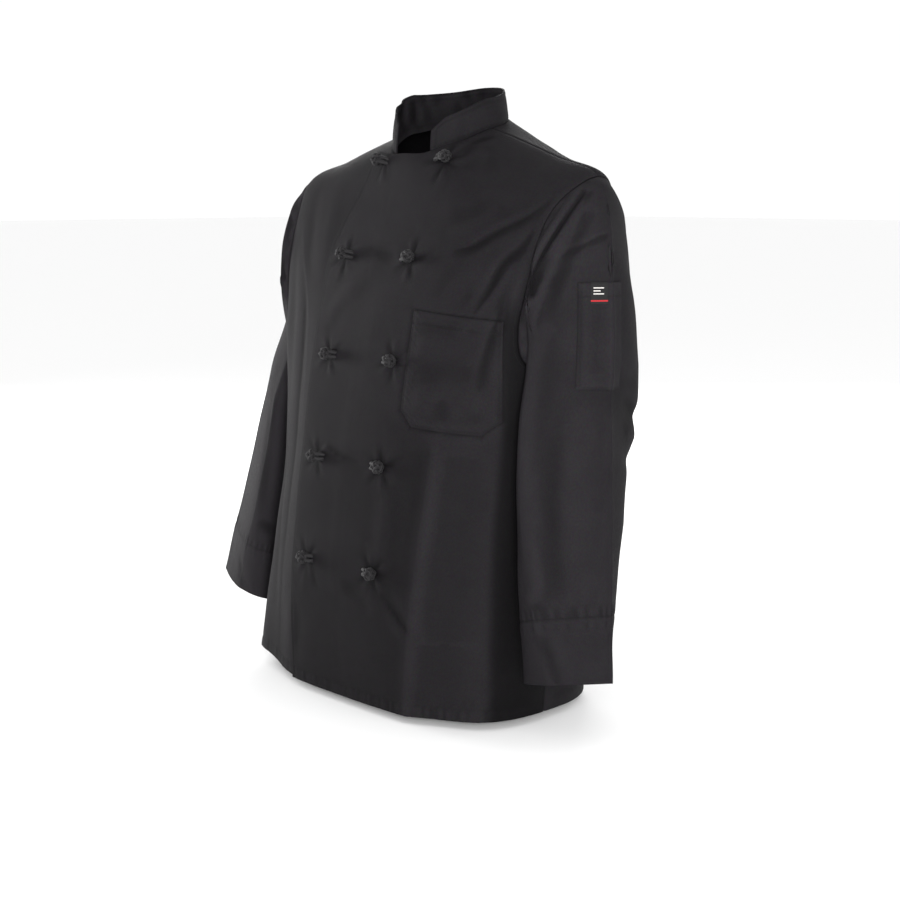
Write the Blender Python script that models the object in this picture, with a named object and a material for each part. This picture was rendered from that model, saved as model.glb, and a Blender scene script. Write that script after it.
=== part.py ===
"""A double-breasted chef jacket, filled out and hollow as it is when worn.

Every cloth piece is a thin wall on one of two forms: the figure, and the arm. Each form is lofted through
rings, and each piece takes a stretch of it. The frame is in metres: +Z up, -Y to the front, +X to the
wearer's left, and the origin in the middle of the neck, level with the nape.
"""
import math

import bmesh
import bpy
from mathutils import Vector

# ---------------------------------------------------------------- driving sizes, in metres and degrees
CLOTH = 0.0015            # twill with its seam turnings
COLLAR_CLOTH = 0.0025     # two layers and a stiffening
SEAM_GAP = 0.0003         # free space between two pieces that are sewn together
ARMHOLE_GAP = 0.0018      # the same at the armholes, where the sleeve folds back on the body
LAYER_GAP = 0.0005        # free space between a piece and the panel that it lies on
STEEPEST_MITRE = 0.95     # keeps a seam's wall from growing long where two pieces fold back on each other

# ---------------------------------------------------------------- rings of the figure, from the neck to the hem
BODY_COLUMNS = ("level", "side_x", "side_z", "front_y", "front_z", "back_y", "back_z", "square", "middle_y", "dip")
BODY_RINGS = (
    (0.00, 0.072, -0.014, 0.077, -0.050, 0.070, 0.004, 2.00, 0.018, 1.3),
    (0.06, 0.120, -0.029, 0.083, -0.072, 0.080, -0.018, 2.05, 0.017, 1.5),
    (0.13, 0.186, -0.051, 0.092, -0.108, 0.092, -0.058, 2.15, 0.014, 1.7),
    (0.20, 0.254, -0.074, 0.108, -0.156, 0.106, -0.112, 2.25, 0.010, 1.8),
    (0.30, 0.268, -0.150, 0.120, -0.205, 0.116, -0.172, 2.30, 0.005, 2.0),
    (0.40, 0.254, -0.235, 0.129, -0.262, 0.122, -0.242, 2.40, 0.000, 2.0),
    (0.48, 0.229, -0.305, 0.134, -0.318, 0.124, -0.305, 2.45, -0.006, 2.0),
    (0.62, 0.222, -0.425, 0.141, -0.430, 0.126, -0.425, 2.45, -0.017, 2.0),
    (0.80, 0.222, -0.570, 0.146, -0.572, 0.138, -0.570, 2.60, -0.030, 2.0),
    (1.00, 0.226, -0.714, 0.130, -0.714, 0.160, -0.714, 2.70, -0.046, 2.0),
)
SHOULDER_TIP = 0.20       # level of the ring that passes over the shoulder tips
ARMPIT = 0.48             # level of the ring that passes under the arms
SOFT_REACH = 0.11         # levels either way over which the shoulder tip's corner fades into the chest
SOFT_STEPS = (-1.0, -0.5, 0.0, 0.5, 1.0)

ARMHOLE_COLUMNS = ("round_arm", "front_turn", "back_turn")
ARMHOLE = (
    (0, 90.0, 90.0),
    (30, 68.0, 107.0),
    (60, 58.5, 115.0),
    (90, 56.0, 119.0),
    (120, 56.0, 118.0),
    (150, 65.0, 110.0),
    (180, 90.0, 90.0),
)

# ---------------------------------------------------------------- rings of the arm, from the armhole to the cuff edge
SLEEVE_COLUMNS = ("along", "crease_x", "crease_y", "crease_z", "inner_x", "inner_y", "inner_z",
                  "front_x", "front_y", "back_x", "back_y", "sharp")
SLEEVE_RINGS = (
    (0.07, 0.272, 0.000, -0.090, 0.264, 0.004, -0.320, 0.231, -0.086, 0.247, 0.072, 0.3),
    (0.18, 0.293, -0.015, -0.138, 0.255, 0.010, -0.342, 0.229, -0.080, 0.262, 0.056, 0.8),
    (0.32, 0.299, -0.019, -0.212, 0.248, 0.014, -0.366, 0.231, -0.080, 0.275, 0.050, 0.9),
    (0.45, 0.307, -0.026, -0.300, 0.248, 0.008, -0.402, 0.231, -0.090, 0.286, 0.045, 0.9),
    (0.62, 0.323, -0.042, -0.400, 0.248, -0.022, -0.458, 0.238, -0.102, 0.293, 0.018, 0.8),
    (0.80, 0.339, -0.060, -0.500, 0.247, -0.055, -0.535, 0.254, -0.111, 0.302, -0.020, 0.8),
    (0.90, 0.350, -0.072, -0.567, 0.245, -0.078, -0.592, 0.272, -0.114, 0.306, -0.042, 0.8),
    (1.00, 0.362, -0.084, -0.640, 0.246, -0.090, -0.662, 0.295, -0.113, 0.308, -0.062, 0.8),
)


def read(columns, rows, at):
    """Every column of a table, read at any place along it by a smooth curve through its rows."""
    at = min(max(at, rows[0][0]), rows[-1][0])
    low = max(i for i in range(len(rows) - 1) if rows[i][0] <= at)
    high, before, after = low + 1, max(low - 1, 0), min(low + 2, len(rows) - 1)
    span = rows[high][0] - rows[low][0]
    t = (at - rows[low][0]) / span
    values = {}
    for k, name in enumerate(columns):
        slope_low = (rows[high][k] - rows[before][k]) / (rows[high][0] - rows[before][0])
        slope_high = (rows[after][k] - rows[low][k]) / (rows[after][0] - rows[low][0])
        values[name] = ((2 * t**3 - 3 * t**2 + 1) * rows[low][k] + (t**3 - 2 * t**2 + t) * span * slope_low
                        + (3 * t**2 - 2 * t**3) * rows[high][k] + (t**3 - t**2) * span * slope_high)
    return values


def signed_power(value, power):
    return math.copysign(abs(value) ** power, value)


def side(turn, level):
    """How far out and how high the figure's side is, its corner at the shoulder tip fading away from the side."""
    reach = min(SOFT_REACH, level, 1 - level)
    near = [read(BODY_COLUMNS, BODY_RINGS, level + reach * step) for step in SOFT_STEPS]
    ring = read(BODY_COLUMNS, BODY_RINGS, level)
    sharp = abs(math.sin(math.radians(turn))) ** 7
    soft_x = sum(one["side_x"] for one in near) / len(near)
    soft_z = sum(one["side_z"] for one in near) / len(near)
    return ring["side_x"] * sharp + soft_x * (1 - sharp), ring["side_z"] * sharp + soft_z * (1 - sharp)


def body(turn, level):
    """A point of the figure: turn 0 is the centre front, 90 the wearer's left, 180 the centre back."""
    ring = read(BODY_COLUMNS, BODY_RINGS, level)
    side_x, side_z = side(turn, level)
    across, forward = math.sin(math.radians(turn)), math.cos(math.radians(turn))
    power = 2 / ring["square"]
    end = "front" if forward > 0 else "back"
    x = side_x * signed_power(across, power)
    y = ring["middle_y"] - ring[end + "_y"] * signed_power(forward, power)
    z = side_z + (ring[end + "_z"] - side_z) * abs(forward) ** ring["dip"]
    return Vector((x, y, z))


def turn_at(x, level):
    """The turn at which the front half of the figure's ring reaches x."""
    power = read(BODY_COLUMNS, BODY_RINGS, level)["square"] / 2
    turn = 45.0
    for _ in range(5):
        turn = math.degrees(math.asin(min(abs(x) / side(turn, level)[0], 1) ** power))
    return math.copysign(turn, x)


def armhole_level(round_arm):
    """The level of the armhole: 0 degrees at the shoulder tip, 90 at the front, 180 in the armpit."""
    return SHOULDER_TIP + (ARMPIT - SHOULDER_TIP) * (1 - math.cos(math.radians(round_arm))) / 2


def armhole_turn(round_arm):
    half = round_arm if round_arm <= 180 else 360 - round_arm
    return read(ARMHOLE_COLUMNS, ARMHOLE, half)["front_turn" if round_arm <= 180 else "back_turn"]


def armhole(round_arm):
    """A point of the left armhole, where the sleeve's turn of the same name is sewn on."""
    return body(armhole_turn(round_arm), armhole_level(round_arm))


def arm_ring(ring, round_arm):
    """A point of a ring of the left arm: 0 on the outer crease, 90 at the front, 180 inside, 270 behind."""
    middle_z = (ring["crease_z"] + ring["inner_z"]) / 2
    crease = Vector((ring["crease_x"], ring["crease_y"], ring["crease_z"]))
    inner = Vector((ring["inner_x"], ring["inner_y"], ring["inner_z"]))
    front = Vector((ring["front_x"], ring["front_y"], middle_z))
    back = Vector((ring["back_x"], ring["back_y"], middle_z))
    c, s = math.cos(math.radians(round_arm)), math.sin(math.radians(round_arm))
    sides = signed_power(s, 1 + ring["sharp"] * max(c, 0))
    ends = signed_power(c, 1 + ring["sharp"] * max(s, 0)) if c > 0 else c
    return ((crease + inner + front + back) / 4 + (crease - inner) * (ends / 2) + (front - back) * (sides / 2)
            + (crease + inner - front - back) * ((c * c - s * s) / 4))


def sleeve(round_arm, along):
    """A point of the left sleeve, from the armhole at 0 to the cuff edge at 1."""
    round_arm = round_arm % 360
    rows = [(0.0, *armhole(round_arm))]
    for row in SLEEVE_RINGS:
        rows.append((row[0], *arm_ring(dict(zip(SLEEVE_COLUMNS, row)), round_arm)))
    point = read(("along", "x", "y", "z"), rows, along)
    return Vector((point["x"], point["y"], point["z"]))


# ---------------------------------------------------------------- the pieces' own sizes
WRAP_AT_NECK, WRAP = 0.066, 0.094           # from the centre front to the edge of either front
WRAP_TOP_DROP = 0.030                       # level at which the free top edge of a front meets that edge
NECK_LIFT = 0.0016                          # more room between the fronts where they bend over the neck
HEM_ROWS, ARMHOLE_ROWS, SHOULDER_ROWS = 9, 12, 5
FRONT_COLUMNS, BACK_COLUMNS = 18, 20

COLLAR_HEIGHT = 0.038
COLLAR_LEAN = 0.005                         # how far its top edge stands in from the neck seam
COLLAR_CORNER = 0.016                       # radius of its rounded front corners
COLLAR_LEFT_X, COLLAR_RIGHT_X = 0.034, 0.025
COLLAR_COLUMNS, COLLAR_ROWS = 30, 4

SLEEVE_COLUMNS_ROUND = 24
SLEEVE_ROWS = (0.0, 0.03, 0.07, 0.12, 0.18, 0.25, 0.32, 0.385, 0.45, 0.53, 0.62, 0.71, 0.80, 0.85, 0.90, 0.95, 1.0)

POCKET_X, POCKET_Z = 0.141, -0.304          # middle of the chest pocket
POCKET_WIDE, POCKET_TALL = 0.116, 0.136
POCKET_SLOPE = 0.008                        # how much lower its outer side hangs
POCKET_CUT = 0.018                          # its cut lower corners
POCKET_COLUMNS, POCKET_ROWS = 14, 8
ARM_POCKET_TOP, ARM_POCKET_BOTTOM = -0.193, -0.316
ARM_POCKET_FRONT, ARM_POCKET_BEHIND = 37.5, -30.0
LABEL_BOTTOM = -0.218
LABEL_FRONT, LABEL_BACK = 28.0, 10.0
PATCH = 0.0012                              # a pocket's single cloth with its turned edges

KNOT_PLACES_COLUMNS = ("z", "left_x", "right_x")
KNOT_PLACES = (
    (-0.060, 0.064, 0.050),
    (-0.172, 0.060, 0.061),
    (-0.294, 0.062, 0.057),
    (-0.421, 0.062, 0.058),
    (-0.549, 0.066, 0.060),
)
KNOT_COLUMNS = ("toward_centre", "height", "wide", "high")
KNOT_RINGS = (
    (0.0250, 0.0024, 0.0024, 0.0010),
    (0.0232, 0.0028, 0.0042, 0.0020),
    (0.0140, 0.0031, 0.0048, 0.0024),
    (0.0088, 0.0042, 0.0050, 0.0030),
    (0.0060, 0.0066, 0.0062, 0.0054),
    (0.0000, 0.0084, 0.0079, 0.0076),
    (-0.0054, 0.0080, 0.0058, 0.0056),
    (-0.0076, 0.0077, 0.0022, 0.0022),
)
KNOT_SIDES = 8

TWILL_COLOUR = (0.0300, 0.0285, 0.0300, 1.0)
LABEL_COLOUR = (0.0120, 0.0120, 0.0130, 1.0)


def smooth(value, low, high):
    t = min(max((value - low) / (high - low), 0), 1)
    return t * t * (3 - 2 * t)


def outward(form, across, along):
    """The unit normal of a form, pointing away from the body or the arm."""
    low, high = max(along - 0.004, 0.0), min(along + 0.004, 1.0)
    down = form(across, high) - form(across, low)
    sideways = form(across + 0.5, along) - form(across - 0.5, along)
    normal = down.cross(sideways).normalized()
    return normal if form is body else -normal


def armhole_mitre(round_arm):
    """The direction shared by both walls at the armhole seam, long enough to keep each wall's thickness."""
    of_body = outward(body, armhole_turn(round_arm), armhole_level(round_arm))
    of_sleeve = outward(sleeve, round_arm, 0.0)
    return mitre(of_body, of_sleeve)


def mitre(one, other):
    """The way between two unit vectors, long enough to reach as far as each of them in its own direction."""
    return (one + other) / max(1 + one.dot(other), STEEPEST_MITRE)


def drawn_in(edge, inside, toward, gaps, ring=False):
    """The pairs of one edge of a grid, moved back in their own cloth by half of each gap, to the side of toward."""
    moved = []
    for i, (point, out) in enumerate(edge):
        ways = []
        for start in (i - 1, i):
            if ring or 0 <= start < len(edge) - 1:
                tangent = edge[(start + 1) % len(edge)][0] - edge[start][0]
                way = tangent.cross(inside[i][1]).normalized()
                ways.append(-way if way.dot(toward[i][0] - point) < 0 else way)
        moved.append((point + mitre(ways[0], ways[-1]) * (gaps[i] / 2), out))
    return moved


def draw_in_panel(rows, free_edge):
    """Draws in a panel's neck edge and its side edges, apart from the free edge of a front."""
    rows[0] = drawn_in(rows[0], rows[1], rows[3], [SEAM_GAP] * len(rows[0]))
    gaps = [ARMHOLE_GAP if SHOULDER_TIP <= level <= ARMPIT else SEAM_GAP for level in body_levels()]
    middles = [row[len(row) // 2] for row in rows]
    for side, inside in ((-1, -2),) if free_edge else ((-1, -2), (0, 1)):
        edge = drawn_in([row[side] for row in rows], [row[inside] for row in rows], middles, gaps)
        for row, pair in zip(rows, edge):
            row[side] = pair
    return rows


def wall(name, rows, inner, outer, material, ring=False, mirrored=False):
    """A closed cloth wall between two offsets of a grid of (point, outward) pairs."""
    mesh = bmesh.new()
    side = -1 if mirrored else 1
    faces = []
    for offset in (inner, outer):
        layer = []
        for row in rows:
            layer.append([mesh.verts.new(Vector((side * q.x, q.y, q.z)))
                          for q in (point + out * offset for point, out in row)])
        faces.append(layer)
    below, above = faces
    columns = len(rows[0])
    steps = columns if ring else columns - 1
    for j in range(len(rows) - 1):
        for i in range(steps):
            k = (i + 1) % columns
            mesh.faces.new((above[j][i], above[j + 1][i], above[j + 1][k], above[j][k]))
            mesh.faces.new((below[j][i], below[j][k], below[j + 1][k], below[j + 1][i]))
    for i in range(steps):
        k = (i + 1) % columns
        mesh.faces.new((below[0][i], above[0][i], above[0][k], below[0][k]))
        mesh.faces.new((below[-1][i], below[-1][k], above[-1][k], above[-1][i]))
    if not ring:
        for j in range(len(rows) - 1):
            mesh.faces.new((below[j][0], below[j + 1][0], above[j + 1][0], above[j][0]))
            mesh.faces.new((below[j][-1], above[j][-1], above[j + 1][-1], below[j + 1][-1]))
    return add_object(name, mesh, material)


def add_object(name, mesh, material):
    bmesh.ops.recalc_face_normals(mesh, faces=mesh.faces)
    data = bpy.data.meshes.new(name)
    mesh.to_mesh(data)
    mesh.free()
    for face in data.polygons:
        face.use_smooth = True
    data.materials.append(material)
    made = bpy.data.objects.new(name, data)
    bpy.context.scene.collection.objects.link(made)
    return made


def cloth_material(name, colour, roughness):
    material = bpy.data.materials.new(name)
    material.use_nodes = True
    shader = material.node_tree.nodes["Principled BSDF"]
    shader.inputs["Base Color"].default_value = colour
    shader.inputs["Roughness"].default_value = roughness
    return material


# ---------------------------------------------------------------- fronts and back
def body_levels():
    """The rows shared by the fronts and the back: down the shoulder, down the armhole, and down to the hem."""
    levels = [SHOULDER_TIP * j / SHOULDER_ROWS for j in range(SHOULDER_ROWS)]
    levels += [armhole_level(180 * j / ARMHOLE_ROWS) for j in range(ARMHOLE_ROWS + 1)]
    return levels + [ARMPIT + (1 - ARMPIT) * j / HEM_ROWS for j in range(1, HEM_ROWS + 1)]


def outer_turn(level, behind):
    """Where a front or the back ends at a level: on the shoulder seam, the armhole or the side seam."""
    if not SHOULDER_TIP < level < ARMPIT:
        return 90.0
    share = (level - SHOULDER_TIP) / (ARMPIT - SHOULDER_TIP)
    round_arm = math.degrees(math.acos(1 - 2 * share))
    return armhole_turn(360 - round_arm if behind else round_arm)


def outer_direction(level, behind):
    if not SHOULDER_TIP <= level <= ARMPIT:
        return outward(body, 90.0, level)
    share = (level - SHOULDER_TIP) / (ARMPIT - SHOULDER_TIP)
    round_arm = math.degrees(math.acos(min(max(1 - 2 * share, -1), 1)))
    return armhole_mitre(360 - round_arm if behind else round_arm)


def edge_turn(level):
    """The turn of a front's free edge, counted away from its own side."""
    dropped = level + WRAP_TOP_DROP * max(1 - level / SHOULDER_TIP, 0)
    wrap = WRAP_AT_NECK + (WRAP - WRAP_AT_NECK) * smooth(dropped, 0.03, 0.24)
    return turn_at(wrap, dropped)


def dropped_level(level, turn):
    """The free top edge of a front drops below the neck ring as it goes over the centre."""
    drop = WRAP_TOP_DROP * smooth(-turn, -20, 42)
    return level + drop * max(1 - level / SHOULDER_TIP, 0)


def over_lift(turn, level):
    """How far the over front stands out, to clear the under front's edge."""
    edge = edge_turn(level)
    lift = CLOTH + 1.6 * LAYER_GAP + NECK_LIFT * (1 - smooth(level, 0.05, 0.25))
    return lift * (1 - smooth(turn, edge + 4, edge + 20))


def front_grid(over):
    rows = []
    for level in body_levels():
        first, last = -edge_turn(level), outer_turn(level, behind=False)
        row = []
        for i in range(FRONT_COLUMNS + 1):
            turn = first + (last - first) * i / FRONT_COLUMNS
            at = dropped_level(level, turn)
            out = outer_direction(level, behind=False) if i == FRONT_COLUMNS else outward(body, turn, at)
            row.append((body(turn, at) + out * (over_lift(turn, level) if over else 0), out))
        rows.append(row)
    return draw_in_panel(rows, free_edge=True)


def add_fronts(material):
    wall("left_front", front_grid(over=True), 0, CLOTH, material)
    wall("right_front", front_grid(over=False), 0, CLOTH, material, mirrored=True)


def add_back(material):
    rows = []
    for level in body_levels():
        half = outer_turn(level, behind=True)
        row = []
        for i in range(BACK_COLUMNS + 1):
            turn = half + (360 - 2 * half) * i / BACK_COLUMNS
            out = outward(body, turn, level)
            if i in (0, BACK_COLUMNS):
                out = outer_direction(level, behind=True)
                out.x *= 1 if i == 0 else -1
            row.append((body(turn, level), out))
        rows.append(row)
    wall("back", draw_in_panel(rows, free_edge=False), 0, CLOTH, material)


# ---------------------------------------------------------------- collar
def collar_point(turn, up):
    seam = body(turn, 0.0)
    ring = read(BODY_COLUMNS, BODY_RINGS, 0.0)
    inward = Vector((-seam.x, ring["middle_y"] - seam.y, 0)).normalized()
    return seam + Vector((0, 0, COLLAR_HEIGHT * up)) + inward * (COLLAR_LEAN * up)


def add_collar(material):
    """A band on the neck seam, from its left front corner round the back to its right front corner."""
    first, last = turn_at(COLLAR_LEFT_X, 0.0), 360 - turn_at(COLLAR_RIGHT_X, 0.0)
    radius = BODY_RINGS[0][1]
    corner = math.degrees(COLLAR_CORNER / radius)
    turns = [first + corner * (1 - math.cos(math.radians(90 * k / 4))) for k in range(4)]
    turns += [first + corner + (last - first - 2 * corner) * k / COLLAR_COLUMNS for k in range(COLLAR_COLUMNS + 1)]
    turns += [last + first - turn for turn in reversed(turns[:4])]
    columns = []
    for turn in turns:
        from_end = math.radians(min(turn - first, last - turn)) * radius
        short = max(COLLAR_CORNER - from_end, 0)
        top = COLLAR_HEIGHT - COLLAR_CORNER + math.sqrt(max(COLLAR_CORNER**2 - short**2, 0))
        out = Vector((*(collar_point(turn, 0) - collar_point(turn, 1)).xy, 0)).normalized()
        lift = over_lift(turn, 0.0) if turn < 180 else 0
        seam_top = (lift + CLOTH) * outward(body, turn, 0.0).z + 4 * SEAM_GAP
        column = []
        for j in range(COLLAR_ROWS + 1):
            point = collar_point(turn, top / COLLAR_HEIGHT * j / COLLAR_ROWS) + out * lift
            column.append((point + Vector((0, 0, seam_top * (1 - j / COLLAR_ROWS))), out))
        columns.append(column)
    rows = [[column[j] for column in columns] for j in range(COLLAR_ROWS + 1)]
    wall("collar", rows, -COLLAR_CLOTH / 3, COLLAR_CLOTH * 2 / 3, material)


# ---------------------------------------------------------------- sleeves
def sleeve_grid():
    rows = []
    for along in SLEEVE_ROWS:
        row = []
        for i in range(SLEEVE_COLUMNS_ROUND):
            round_arm = 360 * i / SLEEVE_COLUMNS_ROUND
            out = armhole_mitre(round_arm) if along == 0 else outward(sleeve, round_arm, along)
            row.append((sleeve(round_arm, along), out))
        rows.append(row)
    rows[0] = drawn_in(rows[0], rows[1], rows[1], [ARMHOLE_GAP] * len(rows[0]), ring=True)
    return rows


def add_sleeves(material):
    for name, mirrored in (("left_sleeve", False), ("right_sleeve", True)):
        wall(name, sleeve_grid(), 0, CLOTH, material, ring=True, mirrored=mirrored)


# ---------------------------------------------------------------- pockets and label
def front_place(x, z):
    """The (turn, level) of the figure's front at x and z."""
    level = 0.5
    for _ in range(24):
        level += (body(turn_at(x, level), level).z - z) / 0.85
    return turn_at(x, level), level


def add_chest_pocket(material):
    rows = []
    for j in range(POCKET_ROWS + 1):
        down = j / POCKET_ROWS
        cut = POCKET_CUT * max(down * POCKET_TALL - (POCKET_TALL - POCKET_CUT), 0) / POCKET_CUT
        row = []
        for i in range(POCKET_COLUMNS + 1):
            across = (i / POCKET_COLUMNS - 0.5) * (POCKET_WIDE - 2 * cut)
            z = POCKET_Z + POCKET_TALL * (0.5 - down) - POCKET_SLOPE * across / POCKET_WIDE
            turn, level = front_place(POCKET_X + across, z)
            out = outward(body, turn, level)
            row.append((body(turn, level) + out * over_lift(turn, level), out))
        rows.append(row)
    wall("chest_pocket", rows, CLOTH + 1.6 * LAYER_GAP, CLOTH + 1.6 * LAYER_GAP + PATCH, material)


def sleeve_place(round_arm, z):
    """How far along the left sleeve it comes down to z."""
    along = 0.3
    for _ in range(24):
        along += (sleeve(round_arm, along).z - z) / 0.8
    return along


def sleeve_patch(name, top, bottom, front, behind, columns, rows_down, inner, thickness, material):
    """A patch on the left sleeve, level at its top and bottom, between two turns round the arm."""
    rows = []
    for j in range(rows_down + 1):
        row = []
        for i in range(columns + 1):
            round_arm = front + (behind - front) * i / columns
            along = sleeve_place(round_arm, top + (bottom - top) * j / rows_down)
            row.append((sleeve(round_arm, along), outward(sleeve, round_arm, along)))
        rows.append(row)
    wall(name, rows, inner, inner + thickness, material)


def add_sleeve_pocket(material, label_material):
    on_sleeve = CLOTH + LAYER_GAP
    sleeve_patch("sleeve_pocket", ARM_POCKET_TOP, ARM_POCKET_BOTTOM, ARM_POCKET_FRONT, ARM_POCKET_BEHIND,
                 9, 8, on_sleeve + LAYER_GAP, PATCH, material)
    sleeve_patch("sleeve_label", ARM_POCKET_TOP, LABEL_BOTTOM, LABEL_FRONT, LABEL_BACK,
                 3, 3, on_sleeve + PATCH + 2 * LAYER_GAP, PATCH / 2, label_material)


# ---------------------------------------------------------------- knot buttons
def add_knot(name, x, z, material):
    """A cord knot and the doubled cord that leads to it from its buttonhole, on the side of the centre."""
    side = math.copysign(1, x)
    turn, level = front_place(abs(x), z)
    out = outward(body, turn, level)
    toward_centre = (body(turn - 1, level) - body(turn, level)).normalized()
    if side < 0:
        out.x, toward_centre.x = -out.x, -toward_centre.x
    cloth = body(turn if side > 0 else -turn, level) + out * (over_lift(side * turn, level) + CLOTH)
    down = toward_centre.cross(out)
    mesh = bmesh.new()
    rings = []
    for row in KNOT_RINGS:
        ring = dict(zip(KNOT_COLUMNS, row))
        middle = cloth + toward_centre * ring["toward_centre"] + out * ring["height"]
        rings.append([mesh.verts.new(middle + down * (ring["wide"] * math.cos(2 * math.pi * k / KNOT_SIDES))
                                     + out * (ring["high"] * math.sin(2 * math.pi * k / KNOT_SIDES)))
                      for k in range(KNOT_SIDES)])
    for one, other in zip(rings, rings[1:]):
        for k in range(KNOT_SIDES):
            m = (k + 1) % KNOT_SIDES
            mesh.faces.new((one[k], one[m], other[m], other[k]))
    mesh.faces.new(rings[0][::-1])
    mesh.faces.new(rings[-1])
    add_object(name, mesh, material)


def add_knots(material):
    for number, row in enumerate(KNOT_PLACES, start=1):
        place = dict(zip(KNOT_PLACES_COLUMNS, row))
        add_knot(f"left_knot_{number}", place["left_x"], place["z"], material)
        add_knot(f"right_knot_{number}", -place["right_x"], place["z"], material)


# ======== objects
def main():
    for old in list(bpy.data.objects):
        bpy.data.objects.remove(old)
    twill = cloth_material("black_twill", TWILL_COLOUR, 0.85)
    cord = cloth_material("black_cord", TWILL_COLOUR, 0.80)
    woven = cloth_material("woven_label", LABEL_COLOUR, 0.70)
    add_fronts(twill)
    add_back(twill)
    add_collar(twill)
    add_sleeves(twill)
    add_chest_pocket(twill)
    add_sleeve_pocket(twill, woven)
    add_knots(cord)


main()
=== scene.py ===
"""A black double-breasted chef jacket, filled out as it is when worn, with nobody in it.

The cloth pieces repeat the forms of the CAD solids at a finer step. The folds and pressed creases are listed
in millimetres on the jacket, and the seams and stitches follow from the edges of the pieces.
"""
import math

import bmesh
import bpy
import numpy as np
from mathutils import Matrix, Vector


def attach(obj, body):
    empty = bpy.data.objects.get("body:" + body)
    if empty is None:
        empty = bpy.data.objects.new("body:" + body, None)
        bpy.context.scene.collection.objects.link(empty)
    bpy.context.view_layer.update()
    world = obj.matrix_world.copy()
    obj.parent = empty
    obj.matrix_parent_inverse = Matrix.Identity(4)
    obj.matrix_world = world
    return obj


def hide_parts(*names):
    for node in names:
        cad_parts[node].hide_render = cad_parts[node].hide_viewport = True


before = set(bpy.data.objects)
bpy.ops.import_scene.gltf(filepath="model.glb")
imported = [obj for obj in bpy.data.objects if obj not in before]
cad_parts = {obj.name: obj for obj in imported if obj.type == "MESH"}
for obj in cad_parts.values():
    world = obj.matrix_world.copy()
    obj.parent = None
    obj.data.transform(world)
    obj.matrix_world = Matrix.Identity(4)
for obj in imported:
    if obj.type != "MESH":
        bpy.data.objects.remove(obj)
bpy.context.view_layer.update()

# ==================================================================== the left front
# The wearer's left front lies on top. It is a single panel of poly-cotton twill, cut from the shoulder,
# armhole and side seams across the chest to its own edge, which is turned under and stitched.
CLOTH = 0.0015
CLOTH_SEEN = 0.0012
LAYER_GAP = 0.0005
BODY_RINGS = np.array((
    # level, side_x, side_z, front_y, front_z, back_y, back_z, square, middle_y, dip
    (0.00, 0.072, -0.014, 0.077, -0.050, 0.070, 0.004, 2.00, 0.018, 1.3),
    (0.06, 0.120, -0.029, 0.083, -0.072, 0.080, -0.018, 2.05, 0.017, 1.5),
    (0.13, 0.186, -0.051, 0.092, -0.108, 0.092, -0.058, 2.15, 0.014, 1.7),
    (0.20, 0.254, -0.074, 0.108, -0.156, 0.106, -0.112, 2.25, 0.010, 1.8),
    (0.30, 0.268, -0.150, 0.120, -0.205, 0.116, -0.172, 2.30, 0.005, 2.0),
    (0.40, 0.254, -0.235, 0.129, -0.262, 0.122, -0.242, 2.40, 0.000, 2.0),
    (0.48, 0.229, -0.305, 0.134, -0.318, 0.124, -0.305, 2.45, -0.006, 2.0),
    (0.62, 0.222, -0.425, 0.141, -0.430, 0.126, -0.425, 2.45, -0.017, 2.0),
    (0.80, 0.222, -0.570, 0.146, -0.572, 0.138, -0.570, 2.60, -0.030, 2.0),
    (1.00, 0.226, -0.714, 0.130, -0.714, 0.160, -0.714, 2.70, -0.046, 2.0),
))
SIDE_X, SIDE_Z, FRONT_Y, FRONT_Z, BACK_Y, BACK_Z, SQUARE, MIDDLE_Y, DIP = range(1, 10)
SHOULDER_TIP, ARMPIT = 0.20, 0.48
SOFT_REACH, SOFT_STEPS = 0.11, (-1.0, -0.5, 0.0, 0.5, 1.0)
ARMHOLE = np.array((
    # round the arm, front turn, back turn
    (0, 90.0, 90.0), (30, 68.0, 107.0), (60, 58.5, 115.0), (90, 56.0, 119.0),
    (120, 56.0, 118.0), (150, 65.0, 110.0), (180, 90.0, 90.0),
))
FLAP_STAND = 0.0030
WRAP_AT_NECK, WRAP, WRAP_TOP_DROP, NECK_LIFT, NECK_RISE = 0.066, 0.094, 0.030, 0.0016, 0.008


def between(places, values, at):
    """Values in rows, read at any place along them by a smooth curve through the rows."""
    at = np.clip(at, places[0], places[-1])
    low = np.clip(np.searchsorted(places, at, side="right") - 1, 0, len(places) - 2)
    high, before, after = low + 1, np.maximum(low - 1, 0), np.minimum(low + 2, len(places) - 1)
    pick = np.arange(len(at))
    span = (places[high] - places[low])[:, None]
    t = (at - places[low])[:, None] / span
    slope_low = (values[high, pick] - values[before, pick]) / (places[high] - places[before])[:, None]
    slope_high = (values[after, pick] - values[low, pick]) / (places[after] - places[low])[:, None]
    return ((2 * t**3 - 3 * t**2 + 1) * values[low, pick] + (t**3 - 2 * t**2 + t) * span * slope_low
            + (3 * t**2 - 2 * t**3) * values[high, pick] + (t**3 - t**2) * span * slope_high)


def read(rows, at):
    return between(rows[:, 0], np.broadcast_to(rows[:, None, :], (len(rows), len(at), rows.shape[1])), at)


def smooth(value, low, high):
    t = np.clip((value - low) / (high - low), 0, 1)
    return t * t * (3 - 2 * t)


def signed_power(value, power):
    return np.copysign(np.abs(value) ** power, value)


def side(turn, level):
    """How far out and how high the figure's side is, its corner at the shoulder tip fading away from the side."""
    reach = np.minimum(np.minimum(SOFT_REACH, level), 1 - level)
    near = sum(read(BODY_RINGS, level + reach * step) for step in SOFT_STEPS) / len(SOFT_STEPS)
    ring = read(BODY_RINGS, level)
    sharp = np.abs(np.sin(np.radians(turn))) ** 7
    mixed = ring * sharp[:, None] + near * (1 - sharp[:, None])
    return ring, mixed[:, SIDE_X], mixed[:, SIDE_Z]


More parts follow.
